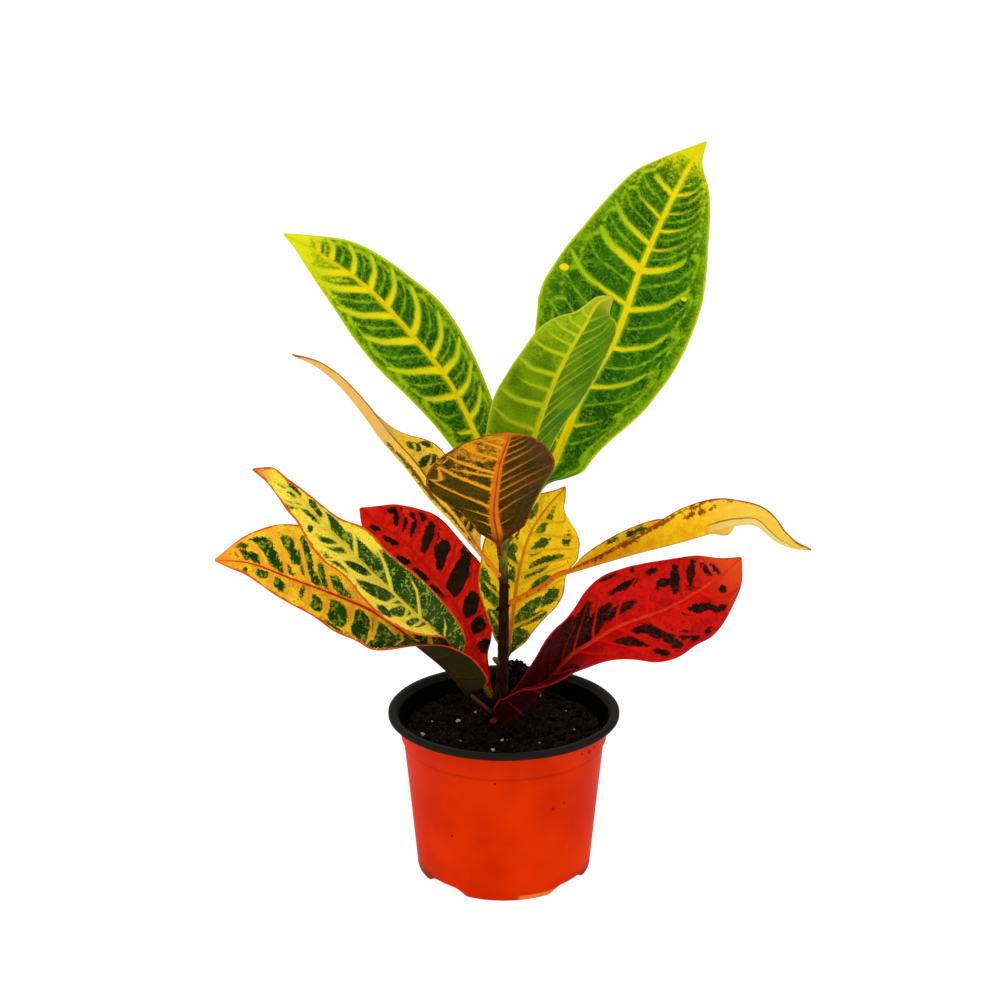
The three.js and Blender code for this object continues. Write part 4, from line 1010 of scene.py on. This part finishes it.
LOOKS["leaf_low_left"] = YELLOW | dict(
    seed=7.0, midrib_width=0.16, cover_left=[4.4, 3.8, 2.8, 1, 0.3, 0, 0, 0],
    cover_right=[1.5, 1.2, 0.8, 0.4, 0.2, 0.2], depth=1.6, ragged=3, ragged_fine=4.2, fleck_from=0.02,
    bend_left=1.0, bend_right=1.0, ground=0xface24, ground_2=0xf8a420, patch=0x0c3405, patch_2=0x22480c,
    fleck_colour=0x96a01e, vein=0xf0a024, vein_2=0xf0ba28, midrib=0xd8320c, midrib_2=0xce240a,
    margin=0xd4300c, margin_width=1.2, under=0x121404, under_2=0x201a07, under_vein=0.0,
    # Painted shadow of the leaf above: the lower part of the left half dulled to olive
    washes=[(0.4, 0.28, "left", 0x6e6832, 0.8)],
    veins_left=veins(
        0.95, (0.1, 0.08, 0.5, 0.7), (0.2, 0.18, 0.5, 0.7), (0.34, 0.33, 0.8, 0.9), (0.44, 0.415, 1.3),
        (0.525, 0.51, 1.2), (0.615, 0.6, 1.1), (0.68, 0.665, 1.1), (0.75, 0.735, 1.0), (0.81, 0.8, 1.0),
        (0.87, 0.87, 1.0)),
    veins_right=veins(
        0.9, (0.2, 0.27, 0.8), (0.3, 0.38, 0.8), (0.4, 0.48, 0.8), (0.5, 0.58, 0.9), (0.6, 0.69, 1.0),
        (0.68, 0.77, 1.0), (0.76, 0.84, 1.0), (0.84, 0.9, 1.0), (0.91, 0.94, 0.8)),
    patches=[
        (0.31, -0.5, 0.03, 0.4), (0.385, -0.55, 0.035, 0.33, 0.1), (0.41, -0.9, 0.028, 0.09),
        (0.48, -0.55, 0.034, 0.37, 0.03), (0.57, -0.52, 0.038, 0.33, 0.03), (0.57, -0.92, 0.035, 0.05),
        (0.648, -0.55, 0.025, 0.27, 0.02), (0.7, -0.38, 0.008, 0.25), (0.74, -0.4, 0.006, 0.2),
        (0.78, -0.5, 0.022, 0.28, 0.02), (0.845, -0.42, 0.025, 0.27, -0.02), (0.9, -0.6, 0.008, 0.2),
        (0.2, 0.45, 0.03, 0.3, 0.1), (0.3, 0.45, 0.035, 0.35, 0.1), (0.4, 0.45, 0.035, 0.35, 0.1),
        (0.49, 0.5, 0.03, 0.3, 0.1), (0.565, 0.1, 0.02, 0.07, 0.1), (0.6, 0.22, 0.022, 0.12, 0.13),
        (0.645, 0.25, 0.018, 0.2, 0.13), (0.69, 0.18, 0.03, 0.12, 0.2), (0.73, 0.5, 0.02, 0.3, 0.13),
        (0.76, 0.4, 0.022, 0.12, 0.1), (0.79, 0.15, 0.04, 0.1, 0.2), (0.8, 0.6, 0.02, 0.15, 0.13),
        (0.84, 0.35, 0.022, 0.2, 0.13), (0.87, 0.6, 0.02, 0.2, 0.13), (0.88, 0.2, 0.02, 0.15, 0.1),
        (0.915, 0.3, 0.018, 0.22, 0.06), (0.92, 0.65, 0.012, 0.15, 0.06)],
    glazes=[
        (0.06, 0.0, "both", 0x403014, 0.9), (0.9, 1.0, "both", 0xec821e, 0.8)],
)
LOOKS["leaf_red_left"] = RED | dict(
    seed=8.0, midrib_width=0.16, cover=[0.4, 0.4], ground=0xec2208, ground_2=0xca1406, patch=0x0c0902,
    patch_2=0x261804, fleck=0.7, stray=[0, 0, 0, 0.02, 0.06, 0.12, 0.14, 0.12, 0.06, 0],
    glazes=[(0.1, 0.0, "both", 0x960408, 0.8)],
    veins_left=veins(
        0.9, (0.231, 0.265, 0.8), (0.334, 0.376, 0.8), (0.436, 0.487, 0.9), (0.539, 0.59, 0.9),
        (0.641, 0.692, 0.9), (0.744, 0.795, 0.9), (0.846, 0.889, 0.8)),
    veins_right=veins(
        0.95, (0.231, 0.24, 0.9), (0.308, 0.317, 1.1), (0.402, 0.436, 1.3), (0.513, 0.564, 1.4),
        (0.641, 0.692, 1.2), (0.727, 0.769, 1.2), (0.795, 0.846, 1.2), (0.88, 0.915, 1.2)),
    patches=[
        (0.265, -0.5, 0.03, 0.3), (0.368, -0.5, 0.03, 0.3), (0.47, -0.5, 0.034, 0.3),
        (0.573, -0.55, 0.03, 0.28), (0.522, -0.1, 0.043, 0.07, -0.256),
        (0.599, -0.12, 0.034, 0.08, -0.256), (0.692, -0.25, 0.026, 0.12, -0.171),
        (0.804, -0.15, 0.026, 0.12, -0.171), (0.889, -0.3, 0.017, 0.22, -0.085),
        (0.184, 0.5, 0.026, 0.42), (0.267, 0.4, 0.036, 0.32, 0.017), (0.355, 0.4, 0.038, 0.28, 0.051),
        (0.475, 0.5, 0.038, 0.45, 0.068), (0.539, 0.95, 0.026, 0.08), (0.581, 0.4, 0.024, 0.13, 0.085),
        (0.62, 0.58, 0.034, 0.2, 0.085), (0.692, 0.55, 0.032, 0.3, 0.103),
        (0.761, 0.5, 0.017, 0.2, 0.085), (0.786, 0.8, 0.026, 0.1), (0.829, 0.5, 0.03, 0.2, 0.085),
        (0.88, 0.75, 0.026, 0.15)],
)
LOOKS["leaf_behind_stem"] = YELLOW | dict(
    seed=9.0, midrib_width=0.16, bend_left=1.0, bend_right=1.0, depth=1.0, margin=0xce460a,
    margin_width=0.9, ragged=3.4, cover=[2.4, 2.2, 1.8, 1.2, 0.8, 0.5, 0.2], fleck_from=0.02,
    ground=0xffd818, ground_2=0xffc212, ragged_fine=4.4, patch=0x183e04, patch_2=0x425c0a,
    glazes=[(0.1, 0.0, "both", 0x28220c, 0.9)],
    veins_left=veins(
        0.9, (0.139, 0.196, 0.8), (0.282, 0.359, 0.8), (0.388, 0.464, 0.8), (0.483, 0.56, 0.9),
        (0.588, 0.665, 0.9), (0.703, 0.77, 0.9), (0.809, 0.866, 0.8)),
    veins_right=veins(
        0.9, (0.158, 0.234, 0.9), (0.282, 0.407, 1, 0.95), (0.388, 0.521, 1), (0.445, 0.579, 1),
        (0.569, 0.675, 0.9), (0.675, 0.77, 0.9), (0.77, 0.856, 0.9)),
    patches=[
        (0.158, -0.7, 0.067, 0.22), (0.34, -0.68, 0.033, 0.12, -0.096),
        (0.397, -0.85, 0.038, 0.08, -0.096), (0.445, -0.18, 0.019, 0.06),
        (0.521, -0.25, 0.029, 0.12, -0.144), (0.579, -0.3, 0.019, 0.08),
        (0.665, -0.5, 0.029, 0.2, -0.096), (0.789, -0.4, 0.029, 0.15, -0.096),
        (0.105, 0.38, 0.048, 0.4), (0.254, 0.36, 0.048, 0.16, 0.287), (0.239, 0.65, 0.014, 0.12, 0.096),
        (0.364, 0.76, 0.029, 0.08, 0.096), (0.426, 0.5, 0.033, 0.14, 0.239),
        (0.521, 0.38, 0.048, 0.17, 0.268), (0.598, 0.62, 0.019, 0.08, 0.191),
        (0.646, 0.27, 0.043, 0.1, 0.335), (0.761, 0.7, 0.033, 0.06, 0.096),
        (0.732, 0.16, 0.029, 0.05, 0.096), (0.799, 0.2, 0.033, 0.05, 0.191)],
)
LOOKS["leaf_long_right"] = YELLOW | dict(
    seed=10.0, cover=[0.6, 0.6, 0.4, 0, 0], seam=(0.56, 0.24, 0x68360c, 0xe8cc70), patch_right=0x822206,
    margin=0x961c06, margin_width=0.8, margin_strength=0.85, fleck=0.3, under=0xfaca12,
    under_2=0xf4ac10, under_vein=0.35, under_patch=0.85, under_patch_colour=0x782204,
    under_vein_colour=0xce8214, washes=[(0.5, 0.62, "both", 0xdebe58, 0.9)],
    veins_left=LONG_LEAF_VEINS,
    veins_right=LONG_LEAF_VEINS,
    patches=[
        (0.2, -0.8, 0.01, 0.04), (0.278, -0.77, 0.01, 0.06), (0.318, -0.79, 0.014, 0.05),
        (0.05, 0.85, 0.02, 0.1), (0.12, 0.82, 0.02, 0.12), (0.19, 0.86, 0.02, 0.08),
        (0.27, 0.78, 0.02, 0.1), (0.33, 0.9, 0.02, 0.06), (0.42, 0.9, 0.03, 0.06),
        (0.53, 0.72, 0.012, 0.05, 0.1), (0.62, 0.7, 0.012, 0.06, 0.1), (0.16, 0.94, 0.2, 0.1),
        (0.42, 0.95, 0.16, 0.07), (0.56, 0.9, 0.02, 0.07), (0.575, 0.68, 0.012, 0.06, 0.1)],
    under_washes=[
        (0.42, 0.05, "both", 0xdc700c, 0.9), (0.56, 0.74, "both", 0xecc446, 0.9)],
    glazes=[
        (0.08, 0.0, "both", 0xc4600c, 0.9), (0.9, 1.0, "both", 0xce8c28, 0.7)],
)
LOOKS["leaf_red_right"] = RED | dict(
    seed=11.0, midrib_width=0.17, midrib=0xd23816, midrib_2=0xc8240c,
    cover_left=[6, 6, 5.8, 3.6, 1.3, 0.4, 0.3, 0.3, 0],
    cover_right=[6, 6, 5, 2.6, 0.9, 0.4, 0.4, 0.3, 0], margin=0xb00412, margin_width=0.9, worms=0.3,
    worm_scale=2.2, worm_colour=0x820e14, stray=[0, 0, 0, -0.1, -0.12, -0.1, -0.06, -0.03, -0.01, 0, 0],
    under_washes=[(0.9, 1.0, "both", 0xc87832, 0.9)], under_vein=0.6, under_vein_colour=0xaa1024,
    veins_left=veins(
        1, (0.1, 0.14, 0.18), (0.2, 0.28, 0.2), (0.26, 0.36, 0.16), (0.33, 0.46, 0.24),
        (0.39, 0.5, 0.3), (0.47, 0.57, 0.4), (0.56, 0.66, 0.5), (0.66, 0.74, 0.5), (0.79, 0.845, 0.4),
        (0.86, 0.9, 0.4)),
    veins_right=veins(
        0.9, (0.1, 0.12, 0.5), (0.2, 0.24, 0.7), (0.28, 0.34, 0.7), (0.4, 0.48, 1.0), (0.48, 0.57, 1.0),
        (0.56, 0.66, 1.0), (0.66, 0.74, 1.0), (0.75, 0.83, 1.0), (0.84, 0.9, 0.9)),
    patches=[
        (0.22, -0.85, 0.03, 0.15), (0.3, -0.82, 0.04, 0.1, -0.2), (0.28, -0.6, 0.03, 0.08, -0.2),
        (0.375, -0.35, 0.05, 0.13, -0.3), (0.36, -0.65, 0.03, 0.08, -0.3),
        (0.42, -0.87, 0.028, 0.08, -0.1), (0.49, -0.7, 0.035, 0.11, -0.2),
        (0.51, -0.4, 0.055, 0.16, -0.25), (0.6, -0.34, 0.038, 0.07, -0.2),
        (0.64, -0.7, 0.035, 0.07, -0.2), (0.61, -0.95, 0.012, 0.04), (0.68, -0.92, 0.01, 0.05),
        (0.75, -0.82, 0.018, 0.06, -0.1), (0.76, -0.52, 0.025, 0.09, -0.1),
        (0.8, -0.52, 0.014, 0.3, -0.08), (0.85, -0.5, 0.012, 0.3, -0.08), (0.895, -0.5, 0.007, 0.22),
        (0.92, -0.4, 0.006, 0.2), (0.35, 0.75, 0.035, 0.22, 0.1), (0.59, 0.5, 0.035, 0.16, 0.2),
        (0.642, 0.25, 0.03, 0.09, 0.1), (0.68, 0.42, 0.028, 0.14, 0.2), (0.67, 0.8, 0.013, 0.08, 0.1),
        (0.71, 0.8, 0.012, 0.08), (0.74, 0.68, 0.014, 0.12, 0.1), (0.7, 0.62, 0.012, 0.1, 0.1),
        (0.76, 0.86, 0.01, 0.06), (0.84, 0.5, 0.009, 0.1, 0.1), (0.9, 0.4, 0.01, 0.12),
        (0.8, 0.32, 0.03, 0.13, 0.15), (0.86, 0.7, 0.012, 0.1, 0.1), (0.8, 0.86, 0.01, 0.05)],
    washes=[
        (0.55, 0.35, "both", 0x700808, 0.85), (0.84, 1.0, "both", 0xdc4c12, 0.85)],
    glazes=[
        (0.5, 0.25, "both", 0x40050a, 0.65), (0.3, 0.12, "both", 0x36030a, 0.7)],
)


# Pot

def pot_profile(angle):
    """Radius and height of the wall, from the middle of the underside over the rim to the floor inside."""
    pitch = 360 / FOOT_COUNT
    turned = (angle - FOOT_TURN + pitch / 2) % pitch - pitch / 2
    past = min(max((abs(turned) - FOOT_HALF_ANGLE) / FOOT_SCALLOP, 0), 1)
    foot = CHANNEL_HEIGHT * math.sin(past * math.pi / 2)
    under = POT_HEIGHT - RIM_DEPTH
    return [
        (CENTRE_RADIUS - 0.5, 0),
        (CENTRE_RADIUS + 2, CHANNEL_HEIGHT),
        (BASE_RADIUS - FOOT_WIDTH - 1, CHANNEL_HEIGHT),
        (BASE_RADIUS - FOOT_WIDTH, foot),
        (BASE_RADIUS - 1, foot),
        (BASE_RADIUS + SLOPE * foot, foot + 1),
        (BASE_RADIUS + SLOPE * 6, 7),
        (BASE_RADIUS + SLOPE * 36, 38),
        (BODY_TOP_RADIUS, COLLAR_Z - 1.5),
        (COLLAR_FOOT_RADIUS, COLLAR_Z),
        (COLLAR_RADIUS, under),
        (RIM_RADIUS - 0.8, under),
        (RIM_RADIUS, under + 0.8),
        (RIM_RADIUS, POT_HEIGHT - 0.8),
        (RIM_RADIUS - 0.8, POT_HEIGHT),
        (RIM_RADIUS - 3.6, POT_HEIGHT),
        (RIM_RADIUS - 4.4, POT_HEIGHT - 0.8),
        (COLLAR_RADIUS - WALL, under - 2),
        (COLLAR_FOOT_RADIUS - WALL, COLLAR_Z + 0.6),
        (BODY_TOP_RADIUS - WALL, COLLAR_Z - 0.9),
        (BASE_RADIUS - WALL + SLOPE * 3, CHANNEL_HEIGHT + FLOOR + 1),
        (BASE_RADIUS - WALL - 1, CHANNEL_HEIGHT + FLOOR),
        (CENTRE_RADIUS + 1.2, CHANNEL_HEIGHT + FLOOR),
        (CENTRE_RADIUS - 1.3, FLOOR),
    ]


def pot_material():
    s = Shader("pot")
    place = s.place()
    black = s.over(s.attribute("black", "Fac"), 0.05)
    cloudy = s.noise(place, 30.0, 3.0)
    orange = s.mix(s.ramp(cloudy, 0.3, 0.7), 0xc02200, 0xd42d00)
    for x, y, z, radius in POT_SPECKS:
        away = s.node("ShaderNodeVectorMath", operation="DISTANCE")
        s.put(away.inputs[0], place)
        s.put(away.inputs[1], (x * MM, y * MM, z * MM))
        orange = s.mix(s.ramp(away.outputs["Value"], 0.35 * radius * MM, radius * MM, 0.9, 0.0),
                       orange, 0x4e0e06)
    x, y, z = s.split(place)
    # Painted shade: a thin line at the collar's foot and the scalloped ends of the feet; painted highlight:
    # the lower edge of the front foot
    from_line = s.abs(s.sub(z, COLLAR_LINE_Z * MM))
    shade = s.ramp(from_line, 0.0003, 0.0011, 0.28, 0.0)
    orange = s.mix(shade, orange, 0x6e1202)
    # Painted shade: the scalloped ends of the feet darkened near the floor
    shade = s.mul(s.ramp(z, 0.001, 0.009, 0.75, 0.0), s.ramp(s.abs(x), 0.03, 0.04))
    orange = s.mix(shade, orange, 0x540e02)
    # Painted highlight: a pale strip on the lower edge of the front foot, on the front side only
    shade = s.mul(s.ramp(z, 0.0022, 0.0036, 0.9, 0.0), s.ramp(x, 0.006, 0.009))
    shade = s.mul(shade, s.ramp(x, 0.026, 0.028, 1.0, 0.0))
    orange = s.mix(s.mul(shade, s.math("LESS_THAN", y, 0.0)), orange, 0xde7832)
    dark = s.mix(cloudy, 0x161310, 0x282521)
    # The inside of the wall nearly black: painted shade over the black plastic
    dark = s.mix(s.over(s.attribute("black", "Fac"), 1.5), dark, 0x020201)
    colour = s.mix(black, orange, dark)
    grain = s.noise(place, 900.0, 2.0)
    s.bump(grain, 0.08, 0.0003)
    rough = s.ramp(cloudy, 0.3, 0.7, 0.4, 0.48)
    return s.finish(Base_Color=colour, Roughness=rough, Specular_IOR_Level=0.008)


def build_pot():
    rings = []
    for k in range(POT_SEGMENTS):
        angle = 360 * k / POT_SEGMENTS
        profile = np.array(pot_profile(angle))
        x = profile[:, 0] * math.sin(math.radians(angle))
        y = -profile[:, 0] * math.cos(math.radians(angle))
        rings.append(np.stack([x, y, profile[:, 1]], axis=1))
    count = len(rings[0])
    points = np.concatenate([[(0, 0, 0), (0, 0, FLOOR)], *rings])
    faces = []
    for k in range(POT_SEGMENTS):
        a = 2 + k * count
        b = 2 + (k + 1) % POT_SEGMENTS * count
        faces.append((0, b, a))
        faces.append((1, a + count - 1, b + count - 1))
        faces += [(a + i, b + i, b + i + 1, a + i + 1) for i in range(count - 1)]
    mesh = add_piece("pot_shell", points, faces, pot_material(), "pot")
    # 1 on the black rim and 2 on the inside, which also takes painted shade
    black = [float(k >= POT_BLACK_FROM) + float(k >= POT_INSIDE_FROM) for k in range(count)]
    add_attribute(mesh, "black", [0.0, 2.0] + black * POT_SEGMENTS)


# Soil

def soil_height(x, y):
    hill = np.exp(-((x - MOUND["x"]) ** 2 + (y - MOUND["y"]) ** 2) / (2 * MOUND["radius"] ** 2))
    relief = np.sin(0.31 * x + 1) * np.cos(0.27 * y) + 0.6 * np.sin(0.53 * y - 0.4 * x)
    return SOIL_LEVEL + MOUND["height"] * hill + SOIL_RELIEF * relief


def soil_material():
    s = Shader("soil")
    place = s.place()
    bit = s.attribute("bit", "Fac")
    crumbs = s.noise(place, 420.0, 4.0, 0.65)
    colour = s.mix(s.ramp(crumbs, 0.35, 0.7), 0x040201, 0x1a0f09)
    damp = s.ramp(s.noise(place, 90.0, 2.0), 0.52, 0.64, 0.0, 0.5)
    colour = s.mix(damp, colour, 0x040303)
    fibre = s.ramp(s.noise(place, 760.0, 2.0), 0.62, 0.7, 0.0, 0.7)
    colour = s.mix(fibre, colour, 0x542e1e)
    colour = s.mix(bit, colour, s.mix(crumbs, 0x786852, 0xcec4b0))
    s.bump(crumbs, 0.8, 0.0016)
    rough = s.ramp(crumbs, 0.3, 0.7, 0.85, 0.98)
    return s.finish(Base_Color=colour, Roughness=rough, Specular_IOR_Level=0.05)


def lump(centre, radius, rng):
    """An uneven crumb."""
    rings, sides = 5, 8
    points = [np.array(centre) - (0, 0, 0.7 * radius)]
    stretch = rng.uniform(0.7, 1.25, 3)
    for i in range(1, rings):
        polar = math.pi * i / rings
        for k in range(sides):
            turn = 2 * math.pi * k / sides
            out = math.sin(polar)
            way = np.array([out * math.cos(turn), out * math.sin(turn), -math.cos(polar)])
            points.append(np.array(centre) + way * stretch * radius * rng.uniform(0.75, 1.15))
    points.append(np.array(centre) + (0, 0, 0.8 * radius))
    last = len(points) - 1
    faces = [(0, 1 + (k + 1) % sides, 1 + k) for k in range(sides)]
    faces += grid_faces(rings - 1, sides, start=1, closed=True)
    faces += [(last, last - sides + k, last - sides + (k + 1) % sides) for k in range(sides)]
    return [tuple(p) for p in points], faces


def build_soil():
    outer = BODY_TOP_RADIUS - WALL - GAP
    segments = SOIL_SEGMENTS
    radii = [0.5] + list(np.linspace(4.2, outer, SOIL_RINGS))
    rng = np.random.default_rng(7)
    points = [(0, 0, FLOOR + GAP)]
    bottom = CHANNEL_HEIGHT + FLOOR + GAP
    profile = [(CENTRE_RADIUS - 2, FLOOR + GAP), (CENTRE_RADIUS + 0.9, bottom)]
    profile += [(BASE_RADIUS - WALL - 1.3, bottom), (BASE_RADIUS - WALL - GAP + SLOPE * 3, bottom + 1)]
    profile += [(outer, COLLAR_Z - 1.2)]
    rows = [[(r, z)] * segments for r, z in profile]
    angles = 2 * math.pi * np.arange(segments) / segments
    for r in radii[::-1]:
        x, y = r * np.sin(angles), -r * np.cos(angles)
        rough = SOIL_ROUGHNESS * rng.standard_normal(segments) * min(1, r / 6)
        heights = soil_height(x, y) - GAP + rough - (1.0 if r == outer else 0)
        rows.append(list(zip([r] * segments, heights)))
    for row in rows:
        for k, (r, z) in enumerate(row):
            points.append((r * math.sin(angles[k]), -r * math.cos(angles[k]), z))
    faces = [(0, 1 + (k + 1) % segments, 1 + k) for k in range(segments)]
    faces += grid_faces(len(rows), segments, start=1, closed=True)
    last = 1 + (len(rows) - 1) * segments
    faces.append(tuple(last + k for k in range(segments)))
    light = [0.0] * len(points)
    crumbs = [(x, y, radius, 1.0) for x, y, radius in SOIL_BITS]
    for _ in range(CRUMBS):
        r, turn = (outer - 2.5) * math.sqrt(rng.uniform(0.03, 1)), rng.uniform(0, 2 * math.pi)
        crumbs.append((r * math.cos(turn), r * math.sin(turn), rng.uniform(0.5, 1.7), 0.0))
    for _ in range(CRUMBS // 6):
        x, y = MOUND["x"] + 8 * rng.standard_normal(), MOUND["y"] + 5 * rng.standard_normal()
        if math.hypot(x, y) < outer - 3:
            crumbs.append((x, y, rng.uniform(0.8, 2.2), 0.0))
    for x, y, radius, shade in crumbs:
        crumb = lump((x, y, float(soil_height(x, y)) + 0.15 * radius), radius, rng)
        extend(points, faces, crumb)
        light += [shade] * len(crumb[0])
    mesh = add_piece("soil_fill", points, faces, soil_material(), "soil")
    add_attribute(mesh, "bit", light)


# Stem

def stem_material():
    s = Shader("stem")
    place = s.place()
    x, y, z = s.split(place)
    bud, _, green_side = s.split(s.attribute("tint"))
    streak = s.noise(s.join(s.mul(x, 3.0), s.mul(y, 3.0), z), 220.0, 3.0)
    speckle = s.noise(place, 900.0, 3.0)
    colour = s.mix(s.ramp(streak, 0.35, 0.65), 0x0e0503, 0x321209)
    colour = s.mix(s.ramp(speckle, 0.62, 0.72, 0.0, 0.4), colour, 0x503222)
    green = s.ramp(z, 0.154, 0.172)
    young = s.mix(s.ramp(streak, 0.35, 0.65), 0x565410, 0x80761e)
    colour = s.mix(green, colour, young)
    bud_colour = s.mix(green_side, 0x78542c, 0x3a4a16)
    colour = s.mix(bud, colour, bud_colour)
    s.bump(streak, 0.4, 0.0006)
    rough = s.ramp(speckle, 0.3, 0.7, 0.55, 0.68)
    return s.finish(Base_Color=colour, Roughness=rough, Specular_IOR_Level=0.06)


def ring(centre, direction, radius, sides):
    turn = Vector((0, 0, 1)).rotation_difference(Vector(direction))
    angles = 2 * math.pi * np.arange(sides) / sides
    circle = [turn @ Vector((radius * math.cos(a), radius * math.sin(a), 0)) for a in angles]
    return [tuple(Vector(centre) + p) for p in circle]


def rod(rings):
    sides = len(rings[0])
    faces = grid_faces(len(rings), sides, closed=True)
    faces.append(tuple(range(sides))[::-1])
    faces.append(tuple((len(rings) - 1) * sides + k for k in range(sides)))
    return [p for r in rings for p in r], faces


def build_stem():
    place, _ = curve([p[:3] for p in STEM])
    _, _, levels, radii = zip(*STEM)
    rings = []
    for share in np.linspace(0, 1, STEM_RINGS):
        centre = place(share)
        direction = place(share + 0.01) - place(share - 0.01)
        swell = 1 + NODE_SWELL * math.cos(2 * math.pi * centre[2] / NODE_HEIGHT) ** 4
        radius = smooth(levels, radii, [centre[2]])[0] * swell
        rings.append(ring(centre, direction, radius, STEM_SIDES))
    points, faces = rod(rings)
    for leaf in LEAVES.values():
        leaf_place, _ = curve(leaf["spine"])
        start = leaf_place(0)
        direction = unit(leaf_place(STEP) - start)
        steps = [(-BOSS_LENGTH, BOSS_ROOT_RADIUS), (-3, 1.5), (-1, 1.55), (-GAP, PETIOLE_RADIUS)]
        rings = [ring(start + direction * d, direction, r, BOSS_SIDES) for d, r in steps]
        extend(points, faces, rod(rings))
    rng = np.random.default_rng(3)
    for x, y, z, radius in STEM_SCARS:
        extend(points, faces, lump((x, y, z), radius, rng))
    tint = [(0.0, 0.0, 0.0)] * len(points)
    start, end = np.array(BUD["from"], float), np.array(BUD["to"], float)
    bud = []
    for share in np.linspace(0, 1, 8):
        radius = BUD["radii"][0] + (BUD["radii"][1] - BUD["radii"][0]) * share ** 2
        bud.append(ring(start + (end - start) * share, end - start, radius, 16))
    bud = rod(bud)
    extend(points, faces, bud)
    tint += [(1.0, 0.0, float(smoothstep(-4.6, -2.6, p[0]))) for p in bud[0]]
    mesh = add_piece("stem_bark", points, faces, stem_material(), "stem")
    add_attribute(mesh, "tint", tint)


add_camera()
add_stage()
build_pot()
build_soil()
build_stem()
for leaf_name, leaf_shape in LEAVES.items():
    build_leaf(leaf_name, leaf_shape, LOOKS[leaf_name])
